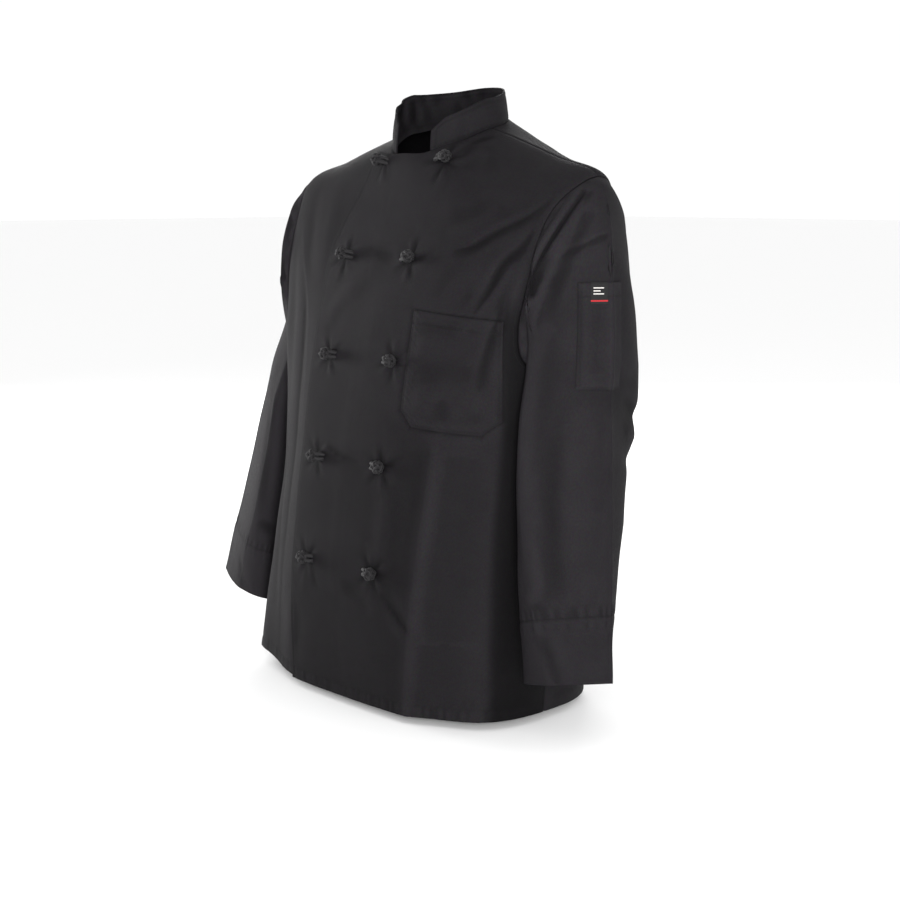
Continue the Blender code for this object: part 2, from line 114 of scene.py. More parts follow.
def body(turn, level):
    """Points of the figure: turn 0 is the centre front, 90 the wearer's left, 180 the centre back."""
    level = np.clip(level, 0.0, 1.0)
    ring, side_x, side_z = side(turn, level)
    across, forward = np.sin(np.radians(turn)), np.cos(np.radians(turn))
    power = 2 / ring[:, SQUARE]
    end_y = np.where(forward > 0, ring[:, FRONT_Y], ring[:, BACK_Y])
    end_z = np.where(forward > 0, ring[:, FRONT_Z], ring[:, BACK_Z])
    return np.stack((side_x * signed_power(across, power),
                     ring[:, MIDDLE_Y] - end_y * signed_power(forward, power),
                     side_z + (end_z - side_z) * np.abs(forward) ** ring[:, DIP]), axis=1)


def length(vectors):
    return np.linalg.norm(vectors, axis=1)


def unit(vectors):
    return vectors / np.maximum(length(vectors), 1e-12)[:, None]


def bell(value, width):
    return np.exp(-(value / width) ** 2)


def outward(form, across, along):
    """The unit normals of a form, pointing away from the body or the arm."""
    low, high = np.maximum(along - 0.004, 0.0), np.minimum(along + 0.004, 1.0)
    down_way, round_way = form(across, high) - form(across, low), form(across + 0.5, along) - form(across - 0.5, along)
    normal = unit(np.cross(down_way, round_way))
    return normal if form is body else -normal


def turn_at(x, level):
    """The turn at which the front half of the figure's ring reaches x."""
    power = read(BODY_RINGS, level)[:, SQUARE] / 2
    turn = np.full(len(level), 45.0)
    for _ in range(5):
        turn = np.degrees(np.arcsin(np.minimum(np.abs(x) / side(turn, level)[1], 1) ** power))
    return np.copysign(turn, x)


def armhole_level(round_arm):
    return SHOULDER_TIP + (ARMPIT - SHOULDER_TIP) * (1 - np.cos(np.radians(round_arm))) / 2


def armhole_turn(round_arm):
    half = np.where(round_arm <= 180, round_arm, 360 - round_arm)
    turns = read(ARMHOLE, half)
    return np.where(round_arm <= 180, turns[:, 1], turns[:, 2])


def outer_turn(level, behind):
    """Where a front or the back ends at a level: on the shoulder seam, the armhole or the side seam."""
    share = np.clip((level - SHOULDER_TIP) / (ARMPIT - SHOULDER_TIP), 0, 1)
    round_arm = np.degrees(np.arccos(1 - 2 * share))
    return armhole_turn(360 - round_arm if behind else round_arm)


def edge_turn(level):
    """The turn of a front's free edge, counted away from its own side."""
    dropped = level + WRAP_TOP_DROP * np.maximum(1 - level / SHOULDER_TIP, 0)
    wrap = WRAP_AT_NECK + (WRAP - WRAP_AT_NECK) * smooth(dropped, 0.03, 0.24)
    return turn_at(wrap, dropped)


def dropped_level(level, turn):
    drop = WRAP_TOP_DROP * smooth(-turn, -20, 42)
    return level + drop * np.maximum(1 - level / SHOULDER_TIP, 0)


def over_lift(turn, level):
    """How far the over front stands out, to clear the under front's edge."""
    edge = edge_turn(level)
    lift = CLOTH + 1.6 * LAYER_GAP + NECK_LIFT * (1 - smooth(level, 0.05, 0.25))
    stand = FLAP_STAND * smooth(level, 0.06, 0.30) * (1 - smooth(turn, edge - 2, edge + 44))
    return lift * (1 - smooth(turn, edge + 4, edge + 20)) + stand


DROP_OF_LEVEL = 0.85


def front_place(x, z):
    """The (turn, level) of the figure's front at places x and z."""
    x, z = np.atleast_1d(np.asarray(x, float)), np.atleast_1d(np.asarray(z, float))
    level = np.full(len(x), 0.5)
    for _ in range(24):
        level = np.clip(level + (body(turn_at(x, level), level)[:, 2] - z) / DROP_OF_LEVEL, 0, 1)
    return turn_at(x, level), level


FOLD_DEPTH = 1.5
SHARP, ROUND = True, False


def fold_line(points, place, degrees):
    """A fold's line on a form, as close points of (x, y, z, depth), from a few given points.

    Each is (x, z, depth) in mm, or (degrees round the arm, z in mm or share of its length in thousandths, depth).
    """
    points = np.array(points, float) / (1 if degrees else 1000, 1000, 1)
    ways = np.diff(points[:, :2], axis=0) * (0.001 if degrees else 1.0, 1.0)
    steps = np.concatenate([[0], np.cumsum(length(ways))])
    at = np.linspace(0, steps[-1], 8 * (len(points) - 1) + 1)
    fine = between(steps, np.broadcast_to(points[:, None, :], (len(points), len(at), 3)), at)
    return np.concatenate([place(fine[:, 0], fine[:, 1]), fine[:, 2:] * FOLD_DEPTH / 1000], axis=1)


def fold_lines(by_hand, place, degrees=False):
    return [(width, sharp, lean, fold_line(points, place, degrees)) for width, sharp, lean, points in by_hand]


def fold_height(points, normals, folds):
    """How far a set of folds moves each point outwards. Each fold is (width, sharp, lean, line)."""
    height = np.zeros(len(points))
    for width, sharp, lean, line in folds:
        width = width / 1000
        box = (points > line[:, :3].min(0) - 3.2 * width) & (points < line[:, :3].max(0) + 3.2 * width)
        near = np.nonzero(box.all(axis=1))[0]
        if not len(near):
            continue
        best = np.full(len(near), np.inf)
        depth, offset = np.zeros(len(near)), np.zeros(len(near))
        for start, end in zip(line, line[1:]):
            way = end[:3] - start[:3]
            rest = points[near] - start[:3]
            t = np.clip(rest @ way / max(way @ way, 1e-12), 0, 1)
            away = rest - t[:, None] * way
            distance = length(away)
            closer = distance < best
            sign = np.sign((np.cross(way, away) * normals[near]).sum(axis=1))
            best = np.where(closer, distance, best)
            depth = np.where(closer, start[3] + t * (end[3] - start[3]), depth)
            offset = np.where(closer, sign * distance / width, offset)
        shape = np.exp(-np.abs(offset) * 1.4) if sharp else np.exp(-offset**2)
        height[near] += depth * (shape + lean * 1.6 * offset * np.exp(-offset**2))
    return height


def on_front(x, z):
    turn, level = front_place(x, z)
    return body(turn, level)


def rolling(points, size):
    """Slow unevenness of the cloth, a few waves that cross."""
    x, y, z = (points / size).T
    return (np.sin(1.0 * x + 0.6 * z + 0.4) + np.sin(-0.7 * x + 1.1 * z + 0.9 * y + 1.9)
            + np.sin(0.5 * x - 1.6 * z - 1.2 * y + 4.0)) / 3


# width in mm, kind, lean, and points of (x, z, depth) in mm; a depth above 0 stands out
FRONT_FOLDS_BY_HAND = (
    # the crease that the iron left under the pocket, and its twin on the other front
    (62, SHARP, 0, ((135, -372, 0.6), (136, -430, 2.4), (133, -520, 4), (125, -640, 4.2), (121, -714, 4))),
    (26, SHARP, 0, ((135, -372, 0.8), (136, -410, 2.6), (134, -472, 3.4), (132, -541, 3.4), (128, -600, 3),
        (123, -675, 2.7), (121, -714, 2.4))),
    (5, SHARP, 0, ((-209, -110, 0), (-190, -140, 0.2), (-168, -172, 0.4), (-148, -203, 0.5), (-131, -243, 0.5),
        (-121, -287, 0.4), (-114, -340, 0.2), (-108, -420, 0))),
    # the rise along the edge of the upper front, over the layers under it, and the hollow beside it
    (34, SHARP, 0, ((-78, -130, 0), (-86, -200, 0.6), (-90, -290, 1.2), (-90, -400, 1.4), (-90, -520, 1.2),
        (-92, -620, 0.8), (-94, -700, 0.4))),
    (20, SHARP, 0, ((-196, -140, 0), (-152, -205, -0.8), (-138, -250, -2), (-134, -300, -2.8), (-133, -360, -2.8),
        (-133, -440, -2.4), (-134, -520, -1.8), (-142, -700, -0.6))),
    # drag lines from the shoulder to the bust
    (8.5, SHARP, 0.4, ((232, -96, 0), (206, -119, -1.5), (172, -138, -2.1), (146, -155, -2), (117, -163, 0))),
    (9, SHARP, 0.4, ((226, -128, 0), (206, -156, -1.8), (191, -172, -2.4), (179, -202, -2.1), (167, -228, -1),
        (155, -256, 0))),
    (9, SHARP, 0, ((206, -168, 0), (188, -206, 1.6), (166, -238, 1.3), (148, -266, 0))),
    (14, ROUND, 0, ((170, -112, 0), (150, -130, 1.2), (128, -140, 1.1), (102, -142, 0))),
    (15, ROUND, 0, ((176, -158, 0), (160, -184, 1.4), (142, -204, 1.2), (120, -236, 0))),
    (11, ROUND, 0, ((219, -160, 0), (212, -200, 1.4), (205, -250, 1.5), (200, -300, 0.4))),
    (10, SHARP, 0.4, ((198, -214, 0), (188, -252, -1.4), (180, -290, -1.2), (176, -330, 0))),
    # the same on the other shoulder
    (14, ROUND, -0.4, ((-192, -86, 0), (-172, -120, -0.9), (-152, -160, -0.9), (-130, -206, 0))),
    (16, ROUND, 0, ((-150, -74, 0), (-132, -112, 0.6), (-118, -160, 0.6), (-110, -220, 0))),
    (13, ROUND, 0, ((-205, -140, 0), (-190, -190, -1), (-176, -250, -1.2), (-168, -330, -0.6), (-162, -400, 0))),
    (12, ROUND, 0, ((-204, -210, 0), (-196, -280, 1.6), (-192, -360, 1.2), (-190, -430, 0))),
    (12, ROUND, 0, ((-166, -420, 0), (-164, -500, -1.4), (-160, -580, -1.2), (-156, -660, 0))),
    # the flare at the side of the hem
    (32, ROUND, 0, ((-202, -480, 0), (-200, -570, 3), (-198, -650, 7), (-197, -714, 9.5))),
    (34, ROUND, 0, ((204, -520, 0), (202, -600, 1.5), (200, -714, 3))),
    # a slack rise between the second and third knots, and the hollows beside it
    (16, ROUND, 0, ((-6, -165, 0), (-28, -200, 1), (-52, -232, 1.2), (-70, -262, 0))),
    (11, ROUND, 0, ((-30, -214, 0), (-50, -244, -0.9), (-66, -272, 0))),
    (9, ROUND, 0, ((-50, -156, 0), (-20, -160, -0.9), (10, -166, -1), (36, -170, 0))),
    (7, ROUND, 0, ((-76, -148, 0), (-70, -162, 1), (-58, -176, 0))),
    # the pull between the fourth pair of knots
    (6, ROUND, 0.4, ((-44, -404, 0), (-31, -412, -1.1), (-4, -419, -0.9), (30, -420, 0))),
    # a soft upright rise below the right knots, and one along the side of the body
    (14, ROUND, 0, ((68, -432, 0), (73, -470, 0.8), (74, -520, 0.7), (74, -548, 0))),
    (26, ROUND, 0, ((196, -350, 0), (201, -440, 1.4), (203, -560, 1.7), (203, -650, 1.2), (200, -714, 0.6))),
    (30, ROUND, 0, ((168, -380, 0), (170, -500, -1.2), (166, -600, -1), (160, -700, 0))),
    # a fold mark across the lower front, and the slack corner beside it
    (5, SHARP, 0.6, ((128, -624, 0.2), (168, -622, 0.25), (197, -625, 0.2), (214, -628, 0))),
    (9, ROUND, 0.5, ((74, -566, 0), (100, -592, -0.9), (122, -612, -0.7), (130, -626, 0))),
    # pulls under the lowest knots
    (7, ROUND, 0.3, ((-56, -556, 0), (-46, -572, -0.9), (-34, -590, 0))),
    (6, ROUND, 0, ((-62, -556, 0), (-64, -576, 0.8), (-70, -600, 0))),
    (8, ROUND, 0, ((6, -572, 0), (26, -574, -0.9), (46, -582, 0))),
    (9, ROUND, 0, ((58, -566, 0), (66, -586, 0.7), (76, -604, 0))),
    # slack at the neck, under the collar
    (7, ROUND, 0.3, ((74, -36, 0), (84, -29, -1.1), (98, -26, 0))),
    (8, ROUND, 0, ((80, -47, 0), (98, -46, 0.8), (120, -58, 0))),
    # the lower corners of the right front
    (16, ROUND, 0, ((-118, -600, 0), (-108, -630, 1), (-112, -670, 1), (-120, -712, 0.6))),
    (12, ROUND, 0, ((-86, -604, 0), (-80, -640, -0.8), (-90, -690, -0.5))),
)
FRONT_FOLDS = fold_lines(FRONT_FOLDS_BY_HAND, on_front)
HEM_Z, HEM_DEEP, HEM_STEP = -0.714, 0.0125, 0.0004
FRONT_UNEVEN, FRONT_WAVE = 0.0008, 0.030
STITCH_DIP, EDGE_STITCH = 0.00045, 0.0065


def seam_roll(distance):
    """The cloth turning in to a seam."""
    return -0.0012 * bell(distance, 0.0012) - 0.0005 * bell(distance, 0.0035)


def stitched_line(distance, reach=0.0016):
    """The dip that a row of stitches pulls."""
    return -STITCH_DIP * bell(distance, reach)


def puckers(along, strength=1.0):
    """Short uneven ripples across a stitched edge."""
    waves = np.sin(along * 520) + 0.7 * np.sin(along * 817 + 1.3) + 0.6 * np.sin(along * 233 + 0.5)
    return strength * 0.00022 * waves


POCKET_X, POCKET_Z, POCKET_WIDE, POCKET_TALL = 0.141, -0.304, 0.116, 0.136
POCKET_SLOPE, POCKET_CUT = 0.008, 0.018


def from_pocket_edge(across, down):
    """Metres in from the nearest edge of the pocket, below 0 outside it, and metres in from its stitched edges."""
    cut = np.clip(down - (POCKET_TALL - POCKET_CUT), 0, POCKET_CUT)
    rim = np.minimum(POCKET_WIDE / 2 - cut - np.abs(across), POCKET_TALL - down)
    return np.minimum(rim, down), rim


KNOT_PLACES = (
    # z, left x, right x
    (-0.055, 0.064, 0.037),
    (-0.172, 0.060, 0.061),
    (-0.294, 0.062, 0.057),
    (-0.421, 0.062, 0.058),
    (-0.549, 0.066, 0.060),
)
KNOT_PULL, KNOT_PULL_FROM, KNOT_PULL_WIDE = 0.00055, 0.015, 0.010
KNOT_SINK, KNOT_SINK_WIDE = 0.0014, 0.011
POCKET_PRINT, POCKET_PRINT_WIDE = 0.0011, 0.0024
KNOT_POINTS = [on_front(x, z)[0] for z, left, right in KNOT_PLACES for x in (left, -right)]


HEM_RISE = 0.014


def hem_rise(places):
    """How far the hem rides up at the wearer's right side."""
    return HEM_RISE * smooth(-places[:, 0], 0.09, 0.20) * (1 - smooth(places[:, 2], HEM_Z, -0.560))


def panel_relief(placed, out, from_seam, folds, uneven):
    """How a front or the back stands off the figure: its folds, which fade toward the seams, and its stitched hem."""
    up_hem = placed[:, 2] - HEM_Z
    height = CLOTH + (fold_height(placed, out, folds) + uneven) * smooth(from_seam, 0.002, 0.016)
    height += seam_roll(from_seam)
    height += stitched_line(up_hem - HEM_DEEP) + HEM_STEP * (1 - smooth(up_hem, HEM_DEEP - 0.001, HEM_DEEP + 0.001))
    return height + puckers(placed[:, 0], 0.9) * (1 - smooth(np.abs(up_hem - 0.007), 0.004, 0.011))


def front_skin(turn, level, over):
    """The outer surface of a front: places, normals and relief. The under front is the same panel, mirrored."""
    at = dropped_level(level, turn)
    form, out = body(turn, at), outward(body, turn, at)
    if over:
        form = form + out * over_lift(turn, level)[:, None]
    flip = np.array((1.0 if over else -1.0, 1.0, 1.0))
    placed, placed_out = form * flip, out * flip
    from_seam = length(form - body(outer_turn(level, behind=False), level))
    height = panel_relief(placed, placed_out, from_seam, FRONT_FOLDS, FRONT_UNEVEN * rolling(placed, FRONT_WAVE))
    if over:
        free = body(-edge_turn(level), dropped_level(level, -edge_turn(level)))
        height += stitched_line(length(form - free) - EDGE_STITCH)
        pocket_across = placed[:, 0] - POCKET_X
        pocket_down = POCKET_Z + POCKET_TALL / 2 - placed[:, 2] - POCKET_SLOPE * pocket_across / POCKET_WIDE
        height -= POCKET_PRINT * bell(np.minimum(from_pocket_edge(pocket_across, pocket_down)[0], 0), POCKET_PRINT_WIDE)
        for number, knot in enumerate(KNOT_POINTS):
            across, up = placed[:, 0] - knot[0], placed[:, 2] - knot[2]
            distance = np.hypot(across, up)
            bearing = np.arctan2(up, across)
            star = np.cos(5 * bearing + 1.3 * number) + 0.6 * np.cos(9 * bearing + number)
            height += (KNOT_PULL * star * bell(distance - KNOT_PULL_FROM, KNOT_PULL_WIDE)
                       - KNOT_SINK * bell(distance, KNOT_SINK_WIDE))
    height += seam_roll(length(form - body(turn, dropped_level(np.zeros(len(turn)), turn)))) * 0.5
    if over:
        placed[:, 2] += NECK_RISE * bell(level, 0.045) * (1 - smooth(turn, -6, 26)) * smooth(turn, -62, -30)
    placed[:, 2] += hem_rise(placed)
    return placed + placed_out * height[:, None], placed_out, height


RIM = 0.0015
# Reaches and strengths of the painted shade in the hollows of the folds and the painted highlight on their ridges.
HOLLOW_REACHES = (0.004, 0.009, 0.018)
HOLLOW_SCALE, HOLLOW_DARK, RIDGE_LIGHT = 0.0009, 0.60, 0.30


def to_the_rim(share, count):
    """Columns at even steps, but for the ones beside the two edges, which lie close to them for a crisp rim."""
    inside = RIM + (share - 1 / count) / (1 - 2 / count) * (1 - 2 * RIM)
    return np.where(share < 0.5 / count, 0.0, np.where(share > 1 - 0.5 / count, 1.0, inside))


def fold_painted_shade(relief, wide, tall):
    """How pale the cloth is, on a grid of its relief: darker in the hollows as painted shade, and paler on the ridges
    as painted highlight and rubbed wear.
    """
    total = np.zeros(relief.shape)
    for reach in HOLLOW_REACHES:
        shares = []
        for axis, step in ((0, tall), (1, wide)):
            cells = max(1, int(round(reach / step)))
            width = [(0, 0), (0, 0)]
            width[axis] = (cells, cells)
            wider = np.pad(relief, width, mode="edge")
            low = np.take(wider, range(relief.shape[axis]), axis)
            high = np.take(wider, range(2 * cells, 2 * cells + relief.shape[axis]), axis)
            shares.append((low + high) / 2 - relief)
        total += np.where(np.abs(shares[0]) > np.abs(shares[1]), shares[0], shares[1]) / len(HOLLOW_REACHES)
    return (1 - HOLLOW_DARK * (1 - np.exp(-np.maximum(total, 0) / HOLLOW_SCALE))
            + RIDGE_LIGHT * (1 - np.exp(-np.maximum(-total, 0) / HOLLOW_SCALE)))


def as_object(name, mesh):
    """A smooth object in the scene from a finished bmesh."""
    data = bpy.data.meshes.new(name)
    mesh.to_mesh(data)
    mesh.free()
    data.shade_smooth()
    made = bpy.data.objects.new(name, data)
    bpy.context.scene.collection.objects.link(made)
    return made


def cloth_grid(name, across, down, skin, painted_light_and_shade=lambda u, v, places: 1.0):
    """A sheet of cloth: an even grid laid on a skin, with a UV map in metres, and its thickness inwards."""
    mesh = bmesh.new()
    uv = mesh.loops.layers.uv.new("UVMap")
    bmesh.ops.create_grid(mesh, x_segments=across, y_segments=down, size=1)
    flat = np.array([vert.co for vert in mesh.verts])
    u, v = (flat[:, 0] + 1) / 2, (1 - flat[:, 1]) / 2
    column = np.round(u * across).astype(int)
    row = np.round(v * down).astype(int)
    places, normals, relief = skin(to_the_rim(u, across), to_the_rim(v, down))
    for vert, place in zip(mesh.verts, places):
        vert.co = place
    laid, height = np.zeros((down + 1, across + 1, 3)), np.zeros((down + 1, across + 1))
    laid[row, column], height[row, column] = places, relief
    wide = np.linalg.norm(np.diff(laid, axis=1), axis=2).max(axis=0)
    tall = np.median(np.linalg.norm(np.diff(laid, axis=0), axis=2), axis=1)
    us, vs = np.concatenate([[0], np.cumsum(wide)]), np.concatenate([[0], np.cumsum(tall)])
    # A colour factor on each point: painted shade in the hollows, painted highlight on the ridges, times the sheet's
    # own painted light and shade.
    painted_shading_values = fold_painted_shade(height, np.median(wide), np.median(tall))[row, column] * painted_light_and_shade(u, v, places)
    painted_shading = mesh.verts.layers.float.new("painted_shading")
    for vert, value in zip(mesh.verts, painted_shading_values):
        vert[painted_shading] = value
    for face in mesh.faces:
        for loop in face.loops:
            loop[uv].uv = (us[column[loop.vert.index]], -vs[row[loop.vert.index]])
    first = mesh.faces[:][len(mesh.faces) // 2]
    first.normal_update()
    if first.normal.dot(Vector(normals[first.verts[0].index])) < 0:
        bmesh.ops.reverse_faces(mesh, faces=mesh.faces)
    bmesh.ops.remove_doubles(mesh, verts=mesh.verts, dist=0.00001)
    piece = as_object(name, mesh)
    thick = piece.modifiers.new("Thickness", "SOLIDIFY")
    thick.thickness = CLOTH_SEEN
    thick.offset = -1
    return piece


def fill(tree, made, inputs):
    """Sets each input of a node to a value, or joins it to another node's output."""
    for key, value in inputs.items():
        if isinstance(value, bpy.types.NodeSocket):
            tree.links.new(value, made.inputs[key])
        else:
            made.inputs[key].default_value = value


def node(tree, kind, inputs=None, **settings):
    made = tree.nodes.new("ShaderNode" + kind)
    for key, value in settings.items():
        setattr(made, key, value)
    fill(tree, made, inputs or {})
    return made


def reckon(tree, operation, one, two):
    return node(tree, "Math", {0: one, 1: two}, operation=operation).outputs["Value"]


def new_material(name, constants):
    """A material, its node tree and its shader, with the shader's constants set."""
    material = bpy.data.materials.new(name)
    material.use_nodes = True
    shader = material.node_tree.nodes["Principled BSDF"]
    fill(material.node_tree, shader, constants)
    return material, material.node_tree, shader


RIB_PITCH = 0.00095


def twill(name, colour):
    """Dyed poly-cotton twill: a diagonal rib, slubs along the yarns and slightly uneven dye, its colour scaled by the
    painted light and shade kept on each point.
    """
    material, tree, shader = new_material(name, {"Roughness": 0.66, "Specular IOR Level": 0.06})
    uv = node(tree, "UVMap", uv_map="UVMap").outputs["UV"]
    rib = node(tree, "TexWave", {"Vector": uv, "Scale": 0.628 / RIB_PITCH, "Distortion": 1.2, "Detail": 2.0,
                                 "Detail Scale": 3.0},
               wave_type="BANDS", bands_direction="DIAGONAL", wave_profile="SIN").outputs["Fac"]
    along_yarn = node(tree, "Mapping", {"Vector": uv, "Scale": (1.0, 0.28, 1.0)}).outputs["Vector"]
    slub = node(tree, "TexNoise", {"Vector": along_yarn, "Scale": 900, "Detail": 3}).outputs["Fac"]
    dye = node(tree, "TexNoise", {"Vector": uv, "Scale": 34, "Detail": 5}).outputs["Fac"]
    grain = node(tree, "TexNoise", {"Vector": uv, "Scale": 420, "Detail": 2}).outputs["Color"]
    deep, light = ([c * share for c in colour[:3]] + [1] for share in (0.74, 1.24))
    threads = node(tree, "MixRGB", {"Fac": rib, "Color1": deep, "Color2": light}).outputs["Color"]
    mottle = node(tree, "MixRGB", {"Fac": 0.5, "Color1": threads, "Color2": grain}, blend_type="SOFT_LIGHT")
    uneven = node(tree, "MapRange", {"Value": dye, "To Min": 0.86, "To Max": 1.14}).outputs["Result"]
    # The painted light and shade kept on each point scales the colour.
    painted_shading = node(tree, "Attribute", attribute_name="painted_shading").outputs["Fac"]
    paler = reckon(tree, "MULTIPLY", uneven, painted_shading)
    final = node(tree, "VectorMath", {0: mottle.outputs["Color"], "Scale": paler}, operation="SCALE")
    raised = node(tree, "Bump", {"Height": reckon(tree, "ADD", rib, slub), "Strength": 0.5, "Distance": 0.00018})
    fill(tree, shader, {"Base Color": final.outputs["Vector"], "Normal": raised.outputs["Normal"]})
    return material


BLACK = (0.0094, 0.0085, 0.0098, 1)
CLOTH_MATERIAL = twill("black twill cloth", BLACK)
FRONT_ACROSS, FRONT_DOWN = ((176, 262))
SEAM_SOFT = 0.8
LEVELS_OF_ROWS = np.concatenate([np.linspace(0, SHOULDER_TIP, 50), armhole_level(np.linspace(0, 180, 81))[1:],
                                 np.linspace(ARMPIT, 1, 101)[1:]])


def level_of(v):
    """Rows closer together down the shoulder and the armhole than below."""
    return np.interp(v, np.linspace(0, 1, len(LEVELS_OF_ROWS)), LEVELS_OF_ROWS)


def up_to(turn, last, at_last):
    """Turns that run evenly and then close up toward the last one, which the sheet's end column takes."""
    close = turn - SEAM_SOFT * np.logaddexp(0, (turn - last) / SEAM_SOFT)
    return np.where(at_last, last, close)


def under_arm_tone(u, v, places):
    """Dark beside the arm, where no light falls."""
    beside = np.abs(places[:, 0]) - 0.010 * smooth(-places[:, 2], 0.45, 0.68)
    return 1 - 0.65 * smooth(beside, 0.196, 0.205) * smooth(-places[:, 2], 0.20, 0.25)


def front_painted_shade(u, v, places):
    """Darker from the front edge to the pressed crease, as painted shade on the side that turns away from the light."""
    x, z = places[:, 0], places[:, 2]
    crease = np.interp(z, (HEM_Z, -0.520, -0.372), (0.121, 0.134, 0.136))
    spread = 0.004 + 0.090 * (1 - smooth(-z, 0.34, 0.40))
    inside = (1 - smooth(x, crease - spread, crease + 0.001)) * smooth(-z, 0.17, 0.46)
    return (1 - 0.27 * inside) * under_arm_tone(u, v, places)


def front_sheet(u, v, over):
    level = level_of(v)
    first, last = -edge_turn(level), outer_turn(level, behind=False)
    return front_skin(up_to(first + (90 + 4 * SEAM_SOFT - first) * u, last, u > 0.9999), level, over)


left_front = cloth_grid("left_front_cloth", FRONT_ACROSS, FRONT_DOWN, lambda u, v: front_sheet(u, v, True), front_painted_shade)
left_front.data.materials.append(CLOTH_MATERIAL)
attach(left_front, "root")
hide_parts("left_front")

# ==================================================================== the right front
# The same panel the other way round, buttoned underneath. Only a strip of it shows at the side of the chest.
right_front = cloth_grid("right_front_cloth", FRONT_ACROSS - 50, FRONT_DOWN - 50,
                         lambda u, v: front_sheet(u, v, False), under_arm_tone)
right_front.data.materials.append(CLOTH_MATERIAL)
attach(right_front, "root")
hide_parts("right_front")

# ==================================================================== the back
# One panel from the neck to the hem. It hangs from the shoulders, a little slack at the waist, with the drag
# lines that sleeves held forward give it.
BACK_FOLDS_BY_HAND = (
    (16, ROUND, 0.4, ((205, -110, 0), (180, -160, -2.2), (160, -215, -2.6), (140, -280, 0))),
    (15, ROUND, -0.4, ((-200, -105, 0), (-176, -150, -2.4), (-158, -205, -2.2), (-146, -262, 0))),
    (18, ROUND, 0, ((190, -210, 0), (176, -290, 1.8), (168, -380, 1.4), (160, -470, 0))),
    (18, ROUND, 0, ((-186, -200, 0), (-172, -280, 1.6), (-166, -390, 1.5), (-168, -500, 0))),
    (26, ROUND, 0, ((60, -230, 0), (64, -330, 1.6), (70, -460, 2), (78, -600, 1.6), (84, -714, 1))),
    (26, ROUND, 0, ((-52, -250, 0), (-60, -350, 1.4), (-70, -480, 2), (-74, -620, 1.6), (-80, -714, 1.2))),
    (24, ROUND, 0, ((4, -300, 0), (2, -420, -1.8), (0, -560, -1.8), (-4, -714, -1))),
    (9, SHARP, 0.5, ((133, -130, 0), (137, -300, 0.7), (139, -500, 0.8), (140, -714, 0.6))),
    (9, SHARP, -0.5, ((-133, -130, 0), (-137, -300, 0.7), (-139, -500, 0.8), (-140, -714, 0.6))),
    (12, ROUND, 0.3, ((-120, -410, 0), (-60, -424, -1.4), (10, -420, -1.2), (80, -428, 0))),
    (14, ROUND, 0, ((-90, -452, 0), (-20, -462, 1.1), (70, -458, 1), (130, -450, 0))),
    (11, ROUND, 0.3, ((-60, -20, 0), (-30, -30, -0.9), (30, -29, -0.9), (62, -18, 0))),
)


def on_back(x, z):
    x, z = np.asarray(x, float), np.asarray(z, float)
    level = np.full(len(x), 0.5)
    for _ in range(30):
        turn = 180 - turn_at(x, level)
        level = np.clip(level + (body(turn, level)[:, 2] - z) / DROP_OF_LEVEL, 0, 1)
    return body(180 - turn_at(x, level), level)


BACK_UNEVEN, BACK_WAVE = 0.0009, 0.034
BACK_FOLDS = fold_lines(BACK_FOLDS_BY_HAND, on_back)


def back_skin(turn, level):
    form, out = body(turn, level), outward(body, turn, level)
    half = outer_turn(level, behind=True)
    from_seam = np.minimum(length(form - body(half, level)),
                           length(form - body(360 - half, level)))
    height = panel_relief(form, out, from_seam, BACK_FOLDS, BACK_UNEVEN * rolling(form, BACK_WAVE))
    form[:, 2] += hem_rise(form)
    return form + out * height[:, None], out, height


def back_sheet(u, v):
    level = level_of(v)
    half = outer_turn(level, behind=True)
    wide = 90 + 4 * SEAM_SOFT
    turn = up_to(180 + wide * np.abs(2 * u - 1), 360 - half, np.abs(2 * u - 1) > 0.9999)
    return back_skin(np.where(u < 0.5, 360 - turn, turn), level)


back = cloth_grid("back_cloth", FRONT_ACROSS - 20, FRONT_DOWN - 70, back_sheet)
back.data.materials.append(CLOTH_MATERIAL)
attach(back, "root")
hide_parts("back")

# ==================================================================== the collar
# A stand collar of two layers with a stiffening, stitched all round near its edge. It is open at the front,
# with rounded corners.
COLLAR_HEIGHT, COLLAR_LEAN, COLLAR_CORNER, COLLAR_CORNER_DROP = 0.038, 0.005, 0.018, 0.0105
COLLAR_RIGHT_RISE = 0.010
COLLAR_LEFT_X, COLLAR_RIGHT_X = 0.034, 0.025
COLLAR_TOP_STITCH, COLLAR_FOOT_STITCH = 0.006, 0.003


